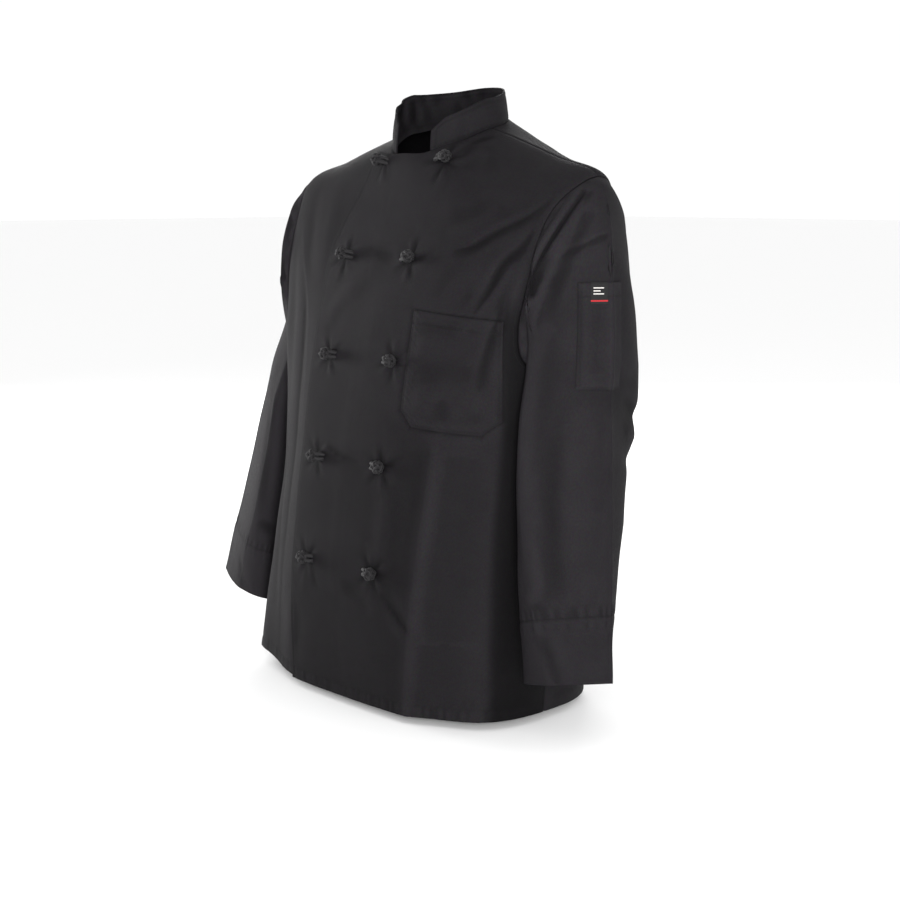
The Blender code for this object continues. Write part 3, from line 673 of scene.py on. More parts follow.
def collar_skin(u, v):
    zero = np.zeros(len(u))
    first = turn_at(np.array([COLLAR_LEFT_X]), np.zeros(1))[0]
    last = 360 - turn_at(np.array([COLLAR_RIGHT_X]), np.zeros(1))[0]
    radius = BODY_RINGS[0][1]
    ends = 0.5 - 0.5 * np.cos(np.pi * u)
    share = u + (ends - u) * 0.55
    turn = first + (last - first) * share
    from_end = np.radians(np.minimum(turn - first, last - turn)) * radius
    short = np.maximum(COLLAR_CORNER - from_end, 0) / COLLAR_CORNER
    top = COLLAR_HEIGHT - COLLAR_CORNER_DROP * short ** 1.25
    up = 1 - v
    seam = body(turn, zero)
    middle = np.stack((zero, np.full(len(u), BODY_RINGS[0][MIDDLE_Y]), zero), axis=1)
    inward = unit((middle - seam) * (1, 1, 0))
    out = -inward
    lift = np.where(turn < 180, over_lift(turn, zero), 0)
    seam_top = (lift + CLOTH) * outward(body, turn, zero)[:, 2] + 0.0006
    place = seam + inward * (COLLAR_LEAN * up * top / COLLAR_HEIGHT)[:, None] + out * lift[:, None]
    place[:, 2] += top * up + seam_top * v + COLLAR_RIGHT_RISE * smooth(turn, 205, 285) * up
    uneven = 0.0011 * np.sin(turn / 23 + up * 1.1) * up + 0.0006 * np.sin(turn / 9.0 + 2 * up) * up
    height = 0.0014 + uneven + 0.00035 * np.sin(up * np.pi)
    tucked = np.clip((v - 0.94) / 0.06, 0, 1)
    place[:, 2] -= 0.0050 * tucked
    place += inward * (0.0030 * tucked)[:, None]
    rim = np.minimum(np.minimum(top * (1 - up), from_end), COLLAR_HEIGHT)
    height += stitched_line(rim - COLLAR_TOP_STITCH) - 0.0006 * bell(rim, 0.0016)
    height += stitched_line(top * up - COLLAR_FOOT_STITCH, 0.0013) * 0.8
    inside = bell(turn - 285, 34) + 0.5 * bell(turn - 205, 20)
    height += inside * (0.0012 * np.sin(turn / 4.6 + up * 3.0) * up
                        + 0.0009 * np.sin(turn / 2.9 - up * 4.0) * smooth(up, 0, 0.5))
    return place + out * height[:, None], out, height


collar = cloth_grid("collar_cloth", 200, 34, collar_skin)
collar.modifiers["Thickness"].thickness = 0.0021
collar.data.materials.append(CLOTH_MATERIAL)
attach(collar, "root")
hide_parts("collar")

# ==================================================================== the sleeves
# One-piece sleeves, pressed flat once, so a crease runs down the outside and another down the inside. The
# heads fall into folds beside the armhole, and the ends are turned up and stitched.
SLEEVE_RINGS = np.array((
    # along, crease x y z, inner x y z, front x y, back x y, sharp
    (.07, .272, .000, -.090, .264, .004, -.320, .231, -.086, .247, .072, .3),
    (.18, .293, -.015, -.138, .255, .010, -.342, .229, -.080, .262, .056, .8),
    (.32, .299, -.019, -.212, .248, .014, -.366, .231, -.080, .275, .050, .9),
    (.45, .307, -.026, -.300, .248, .008, -.402, .231, -.090, .286, .045, .9),
    (.62, .323, -.042, -.400, .248, -.022, -.458, .238, -.102, .293, .018, .8),
    (.80, .339, -.060, -.500, .247, -.055, -.535, .254, -.111, .302, -.020, .8),
    (.90, .350, -.072, -.567, .245, -.078, -.592, .272, -.114, .306, -.042, .8),
    (1.00, .362, -.084, -.640, .246, -.090, -.662, .295, -.113, .308, -.062, .8),
))
CUFF_LINE = 0.900


def sleeve(round_arm, along):
    """Points of the left sleeve, from the armhole at 0 to the cuff edge at 1."""
    round_arm = np.mod(round_arm, 360)
    c, s = np.cos(np.radians(round_arm)), np.sin(np.radians(round_arm))
    rings = [body(armhole_turn(round_arm), armhole_level(round_arm))]
    for row in SLEEVE_RINGS:
        middle_z = (row[3] + row[6]) / 2
        crease, inner = row[1:4], row[4:7]
        front, behind = np.array((row[7], row[8], middle_z)), np.array((row[9], row[10], middle_z))
        sides = signed_power(s, 1 + row[11] * np.maximum(c, 0))
        ends = np.where(c > 0, signed_power(c, 1 + row[11] * np.maximum(s, 0)), c)
        rings.append((crease + inner + front + behind) / 4 + np.outer(ends / 2, crease - inner)
                     + np.outer(sides / 2, front - behind)
                     + np.outer((c * c - s * s) / 4, crease + inner - front - behind))
    places = np.concatenate([[0.0], SLEEVE_RINGS[:, 0]])
    return between(places, np.array(rings), along)


def sleeve_place(round_arm, z):
    """How far along the left sleeve it comes down to z."""
    along = np.full(len(round_arm), 0.3)
    for _ in range(24):
        along = along + (sleeve(round_arm, along)[:, 2] - z) / 0.8
    return along


def on_sleeve(round_arm, down):
    """A place on the left sleeve: down is a height when it is below 0, and a share of the sleeve's length above 0."""
    return sleeve(round_arm, np.where(down < 0, sleeve_place(round_arm, np.minimum(down, -0.05)), down))


# width in mm, kind, lean, and points of (degrees round the arm, z in mm or thousandths of the length, depth in mm)
LEFT_SLEEVE_FOLDS_BY_HAND = (
    # the folds of the head, beside the armhole seam
    (6, SHARP, 0, ((16, 36, 0), (21, 47, -2.4), (33, 64, -3.6), (46, 79, -4.2), (60, 88, -4), (68, 97, -2.4),
        (76, 112, 0))),
    (4.5, ROUND, 0, ((18, 24, 0), (24, 34, 0.8), (37, 49, 1.4), (51, 58, 1.6), (66, 50, 1.2), (78, 45, 0))),
    (9, ROUND, 0, ((50, 104, 0), (58, 110, -2.2), (68, 112, -3.6), (80, 104, -4.2), (92, 96, 0))),
    (7, ROUND, 0, ((45, 124, 0), (53, 134, 1.2), (62, 152, 2), (72, 182, 2), (80, 225, 1.2), (88, 280, 0))),
    (10, ROUND, 0.3, ((24, 88, 0), (28, 110, -1), (37, 141, -1.8), (46, 165, -1.8), (56, 200, -1.3),
        (62, 260, 0))),
    (9, ROUND, 0, ((60, 170, 0), (70, 200, -1.4), (82, 240, -1.6), (96, 290, 0))),
    (5, SHARP, 0.6, ((2, 188, 0), (14, 178, -0.6), (29, 167, -0.8), (42, 148, -0.7), (50, 142, 0))),
    (4, ROUND, 0, ((12, 52, 0), (20, 66, -0.9), (28, 86, 0))),
    # the outline behind the elbow
    (36, ROUND, 0, ((-44, -160, 0), (-48, -220, 2.6), (-50, -270, 1.8), (-50, -310, 0))),
    (36, ROUND, 0, ((-50, -290, 0), (-50, -345, -4.2), (-52, -400, -3.8), (-54, -470, 0))),
    # down the arm
    (13, ROUND, 0, ((66, -240, 0), (76, -290, 1.6), (80, -350, 1.8), (76, -420, 1.4), (70, -490, 0))),
    (14, ROUND, 0, ((44, -320, 0), (50, -400, -0.9), (52, -480, -0.9), (50, -560, 0))),
    (8, ROUND, 0, ((72, -470, 0), (69, -510, 1), (70, -545, 1.1), (84, -562, 0))),
    (10, ROUND, 0.4, ((86, -590, 0), (76, -612, -0.9), (70, -640, -0.6))),
    # behind
    (10, ROUND, 0.3, ((-40, -120, 0), (-62, -160, -2.6), (-84, -200, -2.8), (-108, -240, 0))),
    (13, ROUND, 0, ((-60, -200, 0), (-76, -260, 1.8), (-84, -330, 1.6), (-80, -420, 0))),
    (11, ROUND, 0.3, ((-34, -330, 0), (-70, -352, -2.4), (-110, -360, -2), (-140, -372, 0))),
    (11, ROUND, -0.3, ((-40, -392, 0), (-78, -402, -2), (-116, -404, -1.6), (-146, -410, 0))),
    (10, ROUND, 0, ((-50, -366, 0), (-84, -378, 1.6), (-120, -384, 0))),
    # the pressed creases
    (9, SHARP, 0, ((0, -88, 0), (1, -142, 0.8), (2, -214, 1.3), (1, -330, 1.6), (0, -500, 1.6), (0, -640, 1.4))),
    (5, SHARP, 0, ((180, -360, 0), (180, -440, 1), (180, -560, 1.2), (180, -660, 0.9))),
)
RIGHT_SLEEVE_FOLDS_BY_HAND = (
    (6, SHARP, 0, ((14, 34, 0), (24, 50, -1.8), (38, 68, -2.4), (52, 84, -2.6), (66, 94, -1.6), (76, 110, 0))),
    (5, ROUND, 0, ((20, 26, 0), (34, 44, 1.2), (50, 55, 1.4), (66, 50, 1), (80, 46, 0))),
    (9, ROUND, 0, ((54, 106, 0), (64, 112, -2.4), (76, 108, -3), (90, 98, 0))),
    (30, ROUND, 0, ((36, 40, 0), (42, 120, -2.4), (46, 200, -3), (46, 290, -2), (46, 380, 0))),
    (12, ROUND, 0, ((84, -300, 0), (98, -350, 1.6), (106, -400, 1.8), (116, -460, 1.5), (126, -540, 0.6))),
    (10, ROUND, 0.3, ((70, -352, 0), (84, -400, -1.2), (96, -460, -1.2), (104, -530, 0))),
    (8, ROUND, 0, ((104, -536, 0), (122, -548, -1), (142, -562, 0))),
    (9, ROUND, 0.3, ((60, -600, 0), (80, -620, -0.9), (100, -646, -0.5))),
    (10, ROUND, 0.3, ((-36, -124, 0), (-58, -164, -2.8), (-80, -206, -2.4), (-104, -250, 0))),
    (14, ROUND, 0, ((-56, -210, 0), (-74, -270, 1.8), (-80, -350, 1.4), (-76, -430, 0))),
    (11, ROUND, 0.3, ((-30, -344, 0), (-66, -360, -2.2), (-106, -366, -2), (-136, -380, 0))),
    (11, ROUND, -0.3, ((-44, -404, 0), (-82, -416, -2), (-120, -420, 0))),
    (9, SHARP, 0, ((0, -88, 0), (1, -142, 0.8), (2, -214, 1.3), (1, -330, 1.6), (0, -500, 1.6), (0, -640, 1.4))),
    (5, SHARP, 0, ((180, -360, 0), (180, -440, 1), (180, -560, 1.2), (180, -660, 0.9))),
)


def sleeve_skin(round_arm, along, folds, phase):
    """The outer surface of a sleeve, on the wearer's left: places, normals and relief."""
    form, out = sleeve(round_arm, along), outward(sleeve, round_arm, along)
    from_seam = length(form - sleeve(round_arm, np.zeros(len(along))))
    cuff = sleeve(round_arm, np.full(len(along), CUFF_LINE))
    from_cuff = np.copysign(length(form - cuff), along - CUFF_LINE)
    ease = smooth(from_seam, 0.0015, 0.011)
    round_way = np.radians(round_arm) * 0.06
    height = CLOTH + (fold_height(form, out, folds) + 0.0008 * rolling(form + phase, 0.027)) * ease
    height += seam_roll(from_seam)
    height += 0.0005 * np.sin(round_way * 420 + phase) * bell(from_seam, 0.010) * smooth(from_seam, 0.001, 0.004)
    height += stitched_line(from_cuff) + 0.0005 * smooth(from_cuff, -0.001, 0.001)
    height += puckers(round_way + phase, 1.5) * bell(from_cuff + 0.006, 0.007)
    height += puckers(round_way + 1 + phase, 0.8) * bell(from_cuff - 0.008, 0.006)
    return form + out * height[:, None], out, height


LEFT_SLEEVE_FOLDS = fold_lines(LEFT_SLEEVE_FOLDS_BY_HAND, on_sleeve, degrees=True)
RIGHT_SLEEVE_FOLDS = fold_lines(RIGHT_SLEEVE_FOLDS_BY_HAND, on_sleeve, degrees=True)
MIRRORED = np.array((-1.0, 1.0, 1.0))
RIGHT_SLEEVE_SET_BACK, RIGHT_CUFF_RISE = np.array((0.0095, 0.0095, 0.0)), 0.009


def left_sleeve_skin(round_arm, along):
    return sleeve_skin(round_arm, along, LEFT_SLEEVE_FOLDS, 0.0)


def right_sleeve_skin(round_arm, along):
    places, out, relief = sleeve_skin(round_arm, along, RIGHT_SLEEVE_FOLDS, 0.7)
    behind = smooth(along, 0.02, 0.15) * (1 - smooth(along, 0.34, 0.52))
    places = places * MIRRORED + np.outer(behind, RIGHT_SLEEVE_SET_BACK)
    places[:, 2] += RIGHT_CUFF_RISE * smooth(along, 0.80, 1.0)
    return places, out * MIRRORED, relief


def round_of(u):
    """Columns round the arm, closer together at the pressed creases."""
    return 360 * u - 180 - 16 * np.sin(4 * np.pi * u)


def sleeve_painted_light_and_shade(u, v, places):
    """A little paler than the body, as painted light, darker behind the outer crease and dark on the side next to the
    body, as painted shade where no light falls.
    """
    beside = smooth(np.abs(round_of(u)), 130, 162) * smooth(v, 0.10, 0.26)
    behind = 1 - smooth(round_of(u), -12, 2)
    return 1.25 * (1 - 0.7 * beside) * (1 - 0.18 * behind)


def add_sleeve(name, cad_name, skin, painted_light_and_shade=1.0):
    across, down = ((172, 256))
    made = cloth_grid(name, across, down, lambda u, v: skin(round_of(u), v - 0.045 * np.sin(2 * np.pi * v)),
                      lambda u, v, places: painted_light_and_shade * sleeve_painted_light_and_shade(u, v, places))
    made.data.materials.append(CLOTH_MATERIAL)
    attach(made, "root")
    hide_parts(cad_name)


add_sleeve("left_sleeve_cloth", "left_sleeve", left_sleeve_skin)
# The right sleeve is painted paler still, as painted light.
add_sleeve("right_sleeve_cloth", "right_sleeve", right_sleeve_skin, 1.15)

# ==================================================================== the chest pocket
# A patch pocket on the left front, its edges turned under and stitched down, its two lower corners cut off and
# its top hemmed. It stands a little proud of the front.
PATCH, POCKET_HEM = 0.0012, 0.0150


def pocket_place(across, down):
    """The (turn, level) of a place on the pocket: metres from its middle, and metres down from its top."""
    z = POCKET_Z + POCKET_TALL / 2 - down - POCKET_SLOPE * across / POCKET_WIDE
    return front_place(POCKET_X + across, z)


def pocket_skin(across, down):
    turn, level = pocket_place(across, down)
    place, out, relief = front_skin(turn, level, True)
    nearest, rim = from_pocket_edge(across, down)
    height = PATCH + 0.0005 + 0.0012 * smooth(rim, 0.002, 0.030) * smooth(down, 0.0, 0.05)
    height += 0.0008 * bell(down, 0.012) * np.cos(np.pi * across / POCKET_WIDE)
    unevenness = 0.0010 * rolling(place + 0.3, 0.016) * smooth(rim, 0.004, 0.02)
    unevenness += 0.0018 * np.exp(-(((across + 0.026) / 0.020) ** 2 + ((down - 0.104) / 0.022) ** 2))
    unevenness -= 0.0012 * np.exp(-(((across + 0.004) / 0.012) ** 2 + ((down - 0.112) / 0.016) ** 2))
    height += unevenness
    pressed = -0.0008 * bell(nearest, 0.0014)
    pressed += 1.3 * stitched_line(rim - 0.0030, 0.0012) + 0.6 * stitched_line(down - POCKET_HEM, 0.0014)
    height += pressed
    height += 0.0003 * (1 - smooth(down, POCKET_HEM - 0.001, POCKET_HEM + 0.001))
    height += puckers(place[:, 2] * 1.3 + place[:, 0], 0.8) * bell(rim - 0.008, 0.006)
    # The relief handed on counts the pressed rim and stitch rows 1.6 times over, for darker painted shade along them.
    return place + out * height[:, None], out, relief + unevenness + 1.6 * pressed


def pocket_sheet(u, v):
    down = v * POCKET_TALL
    cut = np.maximum(down - (POCKET_TALL - POCKET_CUT), 0)
    return pocket_skin((u - 0.5) * (POCKET_WIDE - 2 * cut), down)


pocket = cloth_grid("chest_pocket_cloth", 90, 104, pocket_sheet)
pocket.modifiers["Thickness"].thickness = 0.0010
pocket.data.materials.append(CLOTH_MATERIAL)
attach(pocket, "root")
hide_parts("chest_pocket")

# ==================================================================== the sleeve pocket and its label
# A narrow pocket for pens, over the crease on the outside of the left sleeve, hemmed at the top. A small
# woven label is sewn into its upper part: plain black, with a few short bars and a red line along its foot.
ARM_POCKET_TOP, ARM_POCKET_BOTTOM = -0.193, -0.316
ARM_POCKET_FRONT, ARM_POCKET_BEHIND = 37.5, -30.0
ARM_POCKET_HEM = 0.0165
LABEL_BOTTOM, LABEL_FRONT, LABEL_BACK = -0.218, 28.0, 10.0


def arm_pocket_skin(round_arm, down):
    place, out, relief = left_sleeve_skin(round_arm, sleeve_place(round_arm, ARM_POCKET_TOP - down))
    tall = ARM_POCKET_TOP - ARM_POCKET_BOTTOM
    rim = np.minimum(np.minimum(ARM_POCKET_FRONT - round_arm, round_arm - ARM_POCKET_BEHIND) * 0.00092, tall - down)
    height = PATCH + 0.0004 + 0.0007 * smooth(rim, 0.002, 0.016) * smooth(down, 0, 0.03)
    height += 0.0008 * bell(down, 0.008) * smooth(rim, 0.0, 0.012)
    height += 0.0006 * rolling(place + 0.7, 0.013) * smooth(rim, 0.002, 0.012)
    pressed = -0.0008 * bell(np.minimum(rim, down), 0.0012)
    pressed += stitched_line(rim - 0.0026, 0.0011) + 0.6 * stitched_line(down - ARM_POCKET_HEM, 0.0013)
    height += pressed
    # The relief handed on counts the pressed rim and stitch rows 1.6 times over, for darker painted shade along them.
    return place + out * height[:, None], out, relief + 1.6 * pressed


def arm_pocket_sheet(u, v):
    return arm_pocket_skin(ARM_POCKET_FRONT + (ARM_POCKET_BEHIND - ARM_POCKET_FRONT) * u,
                           v * (ARM_POCKET_TOP - ARM_POCKET_BOTTOM))


# The sleeve pocket is painted paler, as painted light, like the sleeve under it.
arm_pocket = cloth_grid("sleeve_pocket_cloth", 56, 96, arm_pocket_sheet, lambda u, v, places: 1.2)
arm_pocket.modifiers["Thickness"].thickness = 0.0010
arm_pocket.data.materials.append(CLOTH_MATERIAL)
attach(arm_pocket, "root")
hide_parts("sleeve_pocket")


def label_sheet(u, v):
    round_arm = LABEL_FRONT + (LABEL_BACK - LABEL_FRONT) * u
    place, out, relief = arm_pocket_skin(round_arm, v * (ARM_POCKET_TOP - LABEL_BOTTOM))
    return place + out * 0.0007, out, relief


def label_cloth():
    """Black damask tape with short pale bars woven in, and a red thread line along the lower edge."""
    material, tree, shader = new_material("woven label tape", {"Roughness": 0.6, "Specular IOR Level": 0.15})
    uv = node(tree, "UVMap", uv_map="UVMap").outputs["UV"]
    apart = node(tree, "SeparateXYZ", {"Vector": uv}).outputs

    def within(axis, low, high):
        above = reckon(tree, "GREATER_THAN", apart[axis], low)
        return reckon(tree, "MULTIPLY", above, reckon(tree, "LESS_THAN", apart[axis], high))

    colour = (0.0055, 0.0055, 0.006, 1)
    for (left, right, top, bottom), mark in LABEL_MARKS:
        area = reckon(tree, "MULTIPLY", within("X", left, right), within("Y", -bottom, -top))
        colour = node(tree, "MixRGB", {"Fac": area, "Color1": colour, "Color2": mark}).outputs["Color"]
    weave = node(tree, "TexWave", {"Vector": uv, "Scale": 760}, wave_type="BANDS", bands_direction="Y")
    raised = node(tree, "Bump", {"Height": weave.outputs["Fac"], "Strength": 0.4, "Distance": 0.0001})
    fill(tree, shader, {"Base Color": colour, "Normal": raised.outputs["Normal"]})
    return material


PALE, RED = (0.50, 0.48, 0.46, 1), (0.32, 0.012, 0.016, 1)
LABEL_MARKS = (
    # left, right, top, bottom in metres on the label
    ((0.0030, 0.0150, 0.0060, 0.0072), PALE),
    ((0.0030, 0.0110, 0.0094, 0.0106), PALE),
    ((0.0030, 0.0150, 0.0128, 0.0140), PALE),
    ((0.0000, 0.0200, 0.0205, 0.0222), RED),
)
label = cloth_grid("sleeve_label_tape", 24, 30, label_sheet)
label.modifiers["Thickness"].thickness = 0.0004
label.data.materials.append(label_cloth())
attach(label, "root")
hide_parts("sleeve_label")

# ==================================================================== the knot buttons
# Ten cord knots in two columns. Each is one braided cord tied into a ball, on a doubled stem that comes up
# through a worked buttonhole in the left front.
BALL, CORD, STEM, CORE = 0.0063, 0.0016, 0.0024, 0.0047
STEM_LONG = {"left": 0.0150, "right": 0.0095}
LEADS, BIGHTS = 4, 5
BALL_STAND, STEM_START, STEM_APART = 0.0080, 0.0045, 0.0022
HOLE_HALF_WIDE, HOLE_THREAD = 0.0016, 0.0005


def cord_cloth():
    material, tree, shader = new_material("black braided cord", {
        "Base Color": (0.0095, 0.0088, 0.0098, 1), "Roughness": 0.55, "Specular IOR Level": 0.20,
        "Sheen Weight": 0.05, "Sheen Roughness": 0.4})
    place = node(tree, "TexCoord").outputs["Object"]
    braid = node(tree, "TexVoronoi", {"Vector": place, "Scale": 1100}, feature="F1", distance="MANHATTAN")
    fuzz = node(tree, "TexNoise", {"Vector": place, "Scale": 1900})
    relief = reckon(tree, "ADD", braid.outputs["Distance"], fuzz.outputs["Fac"])
    raised = node(tree, "Bump", {"Height": relief, "Strength": 0.6, "Distance": 0.0004})
    fill(tree, shader, {"Normal": raised.outputs["Normal"]})
    return material


def thread_cloth():
    material, tree, shader = new_material("black sewing thread", {"Roughness": 0.6, "Specular IOR Level": 0.10})
    twist = node(tree, "TexNoise", {"Vector": node(tree, "TexCoord").outputs["Object"], "Scale": 2600})
    tint = node(tree, "MixRGB", {"Fac": twist.outputs["Fac"], "Color1": (0.006, 0.0055, 0.0063, 1),
                                 "Color2": (0.013, 0.012, 0.0135, 1)})
    fill(tree, shader, {"Base Color": tint.outputs["Color"]})
    return material


THREAD_MATERIAL = thread_cloth()
CORD_MATERIAL = cord_cloth()


def tube(mesh, line, radius, sides, closed):
    """A round cord along a line of points, added to a bmesh."""
    rings = []
    count = len(line)
    side_way = None
    for i, point in enumerate(line):
        before = line[i - 1] if closed or i else line[0]
        after = line[(i + 1) % count] if closed or i < count - 1 else line[-1]
        way = (after - before).normalized()
        side_way = way.orthogonal() if side_way is None else side_way - way * side_way.dot(way)
        side_way.normalize()
        other = way.cross(side_way)
        rings.append([mesh.verts.new(point + side_way * (radius * math.cos(2 * math.pi * k / sides))
                                     + other * (radius * math.sin(2 * math.pi * k / sides))) for k in range(sides)])
    for i in range(count if closed else count - 1):
        one, two = rings[i], rings[(i + 1) % count]
        shift = 0
        if closed and i == count - 1:
            shift = min(range(sides), key=lambda k: (two[k].co - one[0].co).length)
        for k in range(sides):
            mesh.faces.new((one[k], one[(k + 1) % sides], two[(k + 1 + shift) % sides], two[(k + shift) % sides]))
    if not closed:
        mesh.faces.new(rings[0][::-1])
        mesh.faces.new(rings[-1])


def ball_line(count=220):
    """The centre of the cord in the knot: one closed line that goes over and under itself round a ball."""
    line = []
    for i in range(count):
        t = 2 * math.pi * i / count
        up = math.radians(66) * math.cos(BIGHTS * t)
        far = BALL + 0.0008 * math.sin((LEADS - 1) * BIGHTS * t)
        line.append(Vector((far * math.cos(up) * math.cos(LEADS * t), far * math.cos(up) * math.sin(LEADS * t),
                            far * math.sin(up))))
    return line


def add_piece(name, mesh, material, cad_name=None):
    bmesh.ops.recalc_face_normals(mesh, faces=mesh.faces)
    made = as_object(name, mesh)
    made.data.materials.append(material)
    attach(made, "root")
    if cad_name:
        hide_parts(cad_name)


def add_knot(column, number, x, z):
    """The cord ball, its stem toward the centre front, and the buttonhole that the stem comes out of."""
    hand = 1 if x > 0 else -1
    turn, level = front_place(abs(x), z)
    surface, out, _ = front_skin(turn * hand, level, True)
    surface, out = Vector(surface[0]), Vector(out[0])
    toward = Vector((-hand, 0, 0))
    toward = (toward - out * toward.dot(out)).normalized()
    down = toward.cross(out).normalized()
    mesh = bmesh.new()
    spin = Matrix.Rotation(0.9 * number + (1.7 if hand < 0 else 0.2), 4, "Z")
    spin = spin @ Matrix.Rotation(0.5 + 0.6 * number, 4, "X")
    middle = surface + out * BALL_STAND
    tube(mesh, [middle + spin.to_3x3() @ point for point in ball_line()], CORD, 9, True)
    core = bmesh.ops.create_icosphere(mesh, subdivisions=2, radius=CORE)
    bmesh.ops.translate(mesh, verts=core["verts"], vec=middle)
    for strand in (-1, 1):
        line = []
        for step in range(13):
            t = step / 12
            away = STEM_START + STEM_LONG[column] * t
            rise = 0.0062 * (1 - t) ** 1.5 + 0.0022 * min(1, 3 * (1 - t)) - 0.0034 * max(0, t - 0.7) / 0.3
            apart = STEM_APART + 0.0006 * math.sin(math.pi * t) + 0.0002 * (number % 3) * t
            line.append(surface + toward * away + out * rise + down * (strand * apart))
        tube(mesh, line, STEM, 9, False)
    add_piece(f"{column}_knot_cord_{number}", mesh, CORD_MATERIAL, f"{column}_knot_{number}")
    hole = bmesh.new()
    ring = []
    for step in range(40):
        t = 2 * math.pi * step / 40
        half_long = (STEM_START + STEM_LONG[column]) / 2
        along = half_long * (1.1 + math.copysign(abs(math.cos(t)) ** 0.5, math.cos(t)))
        ring.append(surface + toward * along + down * (HOLE_HALF_WIDE * math.sin(t)) - out * 0.0001)
    tube(hole, ring, HOLE_THREAD, 6, True)
    add_piece(f"{column}_buttonhole_{number}", hole, THREAD_MATERIAL)


for number, (z, left_x, right_x) in enumerate(KNOT_PLACES, start=1):
    add_knot("left", number, left_x, z)
    add_knot("right", number, -right_x, z)

# ==================================================================== the stitching
# Lockstitch in black polyester thread, about four stitches to the centimetre: along the front edge, the
# collar, the hems, the cuffs, the pockets and beside the armhole seams.
STITCH, STITCH_GAP, THREAD = 0.0022, 0.0007, 0.00042
SEAM_STITCH, POCKET_STITCH, ARM_STITCH, ARM_SIDE_STITCH = 0.0052, 0.003, 0.0026, 2.9
POCKET_MOUTH = 0.001


def spaced(places, normals, step):
    """Places a fixed step apart along a line of places, with the way and the normal at each."""
    steps = length(np.diff(places, axis=0))
    along = np.concatenate([[0], np.cumsum(steps)])
    at = np.arange(step / 2, along[-1], step)

    def read_at(where, values):
        return np.stack([np.interp(where, along, values[:, k]) for k in range(3)], axis=1)

    way = read_at(at + step / 3, places) - read_at(at - step / 3, places)
    return read_at(at, places), unit(way), unit(read_at(at, normals))


def stitch_rows(name, rows):
    """Rows of stitches, each a short thread that dips into the cloth at both ends."""
    mesh = bmesh.new()
    for places, normals, _ in rows:
        for point, way, out in zip(*spaced(places, normals, STITCH + STITCH_GAP)):
            way, out = Vector(way), Vector(out)
            across = out.cross(way).normalized()
            made = bmesh.ops.create_cube(mesh, size=1)
            for vert in made["verts"]:
                x, y, z = vert.co
                narrow = 1.0 if z < 0 else 0.62
                vert.co = (Vector(point) + way * (x * STITCH * narrow) + across * (y * THREAD * narrow)
                           + out * (z * THREAD + THREAD * 0.12))
    add_piece(name, mesh, THREAD_MATERIAL)


def moved_turn(turn, level, metres):
    """A turn moved some metres round the figure."""
    return turn + metres / length(body(turn + 0.5, level) - body(turn - 0.5, level))


def moved_level(turn, level, metres):
    """A level moved some metres up the figure."""
    return level - metres / (length(body(turn, level - 0.004) - body(turn, level - 0.008)) / 0.004)


down_edge = np.linspace(0.004, 0.998, 400)
edge_row = front_skin(moved_turn(-edge_turn(down_edge), down_edge, EDGE_STITCH), down_edge, True)
hem_turns = np.linspace(-edge_turn(np.ones(1))[0] + 1, 89.5, 260)
hem_levels = moved_level(hem_turns, np.ones(260), HEM_DEEP)
back_turns = np.linspace(90.5, 269.5, 300)
back_hem_row = back_skin(back_turns, moved_level(back_turns, np.ones(300), HEM_DEEP))
hole_levels = np.linspace(SHOULDER_TIP + 0.004, ARMPIT - 0.006, 200)
hole_turn = moved_turn(outer_turn(hole_levels, behind=False), hole_levels, -SEAM_STITCH)
shoulder_levels = np.linspace(0.01, SHOULDER_TIP - 0.004, 120)
shoulder_rows = [back_skin(moved_turn(np.full(120, seam), shoulder_levels, inset), shoulder_levels)
                 for seam, inset in ((90.0, SEAM_STITCH), (270.0, -SEAM_STITCH))]
collar_share = np.linspace(0.031, 0.969, 300)
collar_rows = [collar_skin(collar_share, np.full(300, down)) for down in
               (COLLAR_TOP_STITCH / COLLAR_HEIGHT, 1 - COLLAR_FOOT_STITCH / COLLAR_HEIGHT)]
collar_rows += [collar_skin(np.full(40, share), np.linspace(0.17, 0.90, 40)) for share in (0.031, 0.969)]
stitch_rows("collar_stitches", collar_rows)
for hand, over in (("left", True), ("right", False)):
    rows = [front_skin(hem_turns, hem_levels, over), front_skin(hole_turn, hole_levels, over)]
    stitch_rows(f"{hand}_front_stitches", [edge_row, *rows] if over else rows)
stitch_rows("back_stitches", [back_hem_row, *shoulder_rows])

arms = np.linspace(-179, 181, 260)
cuff_along = np.full(260, CUFF_LINE)
for hand, skin in (("left", left_sleeve_skin), ("right", right_sleeve_skin)):
    stitch_rows(f"{hand}_cuff_stitches", [skin(arms, cuff_along)])

pocket_side = POCKET_WIDE / 2 - POCKET_STITCH
pocket_foot = POCKET_WIDE / 2 - (POCKET_CUT - 0.0012) - 0.0018
pocket_low, cut_top = POCKET_TALL - POCKET_STITCH, POCKET_TALL - POCKET_CUT - 0.0012
pocket_corners = np.array(((-pocket_side, POCKET_MOUTH), (-pocket_side, cut_top), (-pocket_foot, pocket_low),
                           (pocket_foot, pocket_low), (pocket_side, cut_top), (pocket_side, POCKET_MOUTH)))


def corner_row(skin, corners, count):
    """A row of stitches on a pocket, straight from corner to corner."""
    outline = np.concatenate([np.linspace(a, b, count, endpoint=False) for a, b in zip(corners, corners[1:])])
    return skin(outline[:, 0], outline[:, 1])


tack_rows = [pocket_skin(np.linspace(pocket_side - 0.0036, pocket_side + 0.0004, 12) * hand,
                         np.full(12, 0.0016 + 0.0009 * k)) for hand in (-1, 1) for k in range(4)]
stitch_rows("chest_pocket_stitches", [
    corner_row(pocket_skin, pocket_corners, 40),
    pocket_skin(np.linspace(-pocket_side, pocket_side, 90), np.full(90, POCKET_HEM)), *tack_rows])

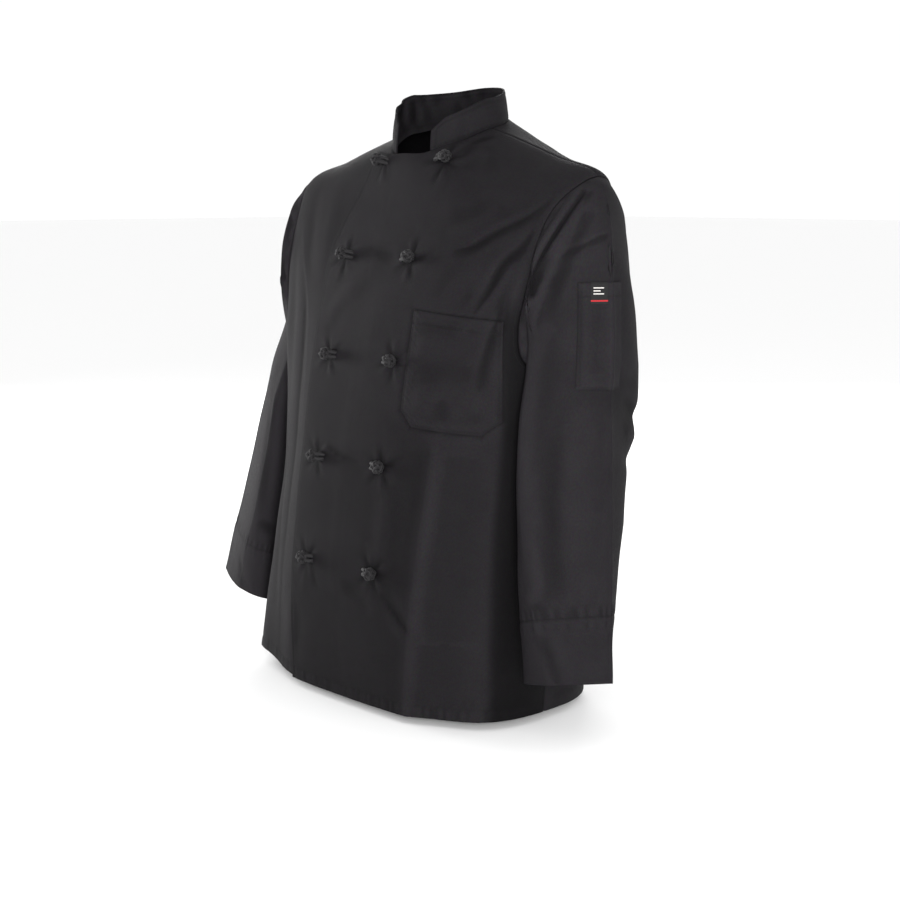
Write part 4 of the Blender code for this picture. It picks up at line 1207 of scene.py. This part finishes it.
arm_front, arm_behind = ARM_POCKET_FRONT - ARM_SIDE_STITCH, ARM_POCKET_BEHIND + ARM_SIDE_STITCH
arm_low = ARM_POCKET_TOP - ARM_POCKET_BOTTOM - ARM_STITCH
arm_corners = np.array(((arm_front, POCKET_MOUTH), (arm_front, arm_low), (arm_behind, arm_low),
                        (arm_behind, POCKET_MOUTH)))
stitch_rows("sleeve_pocket_stitches", [
    corner_row(arm_pocket_skin, arm_corners, 50),
    arm_pocket_skin(np.linspace(arm_front, arm_behind, 60), np.full(60, ARM_POCKET_HEM))])

# ==================================================================== floor, light and camera
FLOOR_Z = -0.724

ground = bmesh.new()
bmesh.ops.create_grid(ground, x_segments=1, y_segments=1, size=30)
bmesh.ops.translate(ground, verts=ground.verts, vec=(0, 0, FLOOR_Z))
floor = as_object("floor", ground)
floor.data.materials.append(new_material("pale floor", {"Base Color": (0.93, 0.93, 0.93, 1), "Roughness": 0.9})[0])

AIM = Vector((0.0, 0.0, -0.36))
AWAY = 3.0
# degrees round from the front toward the wearer's left, degrees up, side in metres, watts
LIGHTS = (
    ("light from the wearer's right", -76, 4, 0.9, 42),
    ("light from the front", 50, 8, 1.0, 92),
    ("light from behind", -132, 16, 1.4, 45),
)
for name, round_from_front, up, size, power in LIGHTS:
    level_way = math.cos(math.radians(up))
    way = Vector((math.sin(math.radians(round_from_front)) * level_way,
                  -math.cos(math.radians(round_from_front)) * level_way, math.sin(math.radians(up))))
    data = bpy.data.lights.new(name, "AREA")
    data.shape = "RECTANGLE"
    data.size = data.size_y = size
    data.energy = power
    lamp = bpy.data.objects.new(name, data)
    lamp.location = AIM + way * AWAY
    lamp.rotation_euler = (AIM - Vector(lamp.location)).to_track_quat("-Z", "Y").to_euler()
    bpy.context.scene.collection.objects.link(lamp)

world = bpy.data.worlds.new("white studio")
bpy.context.scene.world = world
world.use_nodes = True
world.node_tree.nodes["Background"].inputs["Color"].default_value = (1, 1, 1, 1)
world.node_tree.nodes["Background"].inputs["Strength"].default_value = 1.02
bpy.context.scene.view_settings.view_transform = "Standard"

camera_data = bpy.data.cameras.new("camera")
camera_data.lens = 64.0
camera_data.sensor_width = 36.0
camera = bpy.data.objects.new("camera", camera_data)
camera.location = (1.494, -1.423, -0.090)
camera.rotation_euler = (math.radians(80.8), 0, math.radians(46.1))
bpy.context.scene.collection.objects.link(camera)
bpy.context.scene.camera = camera
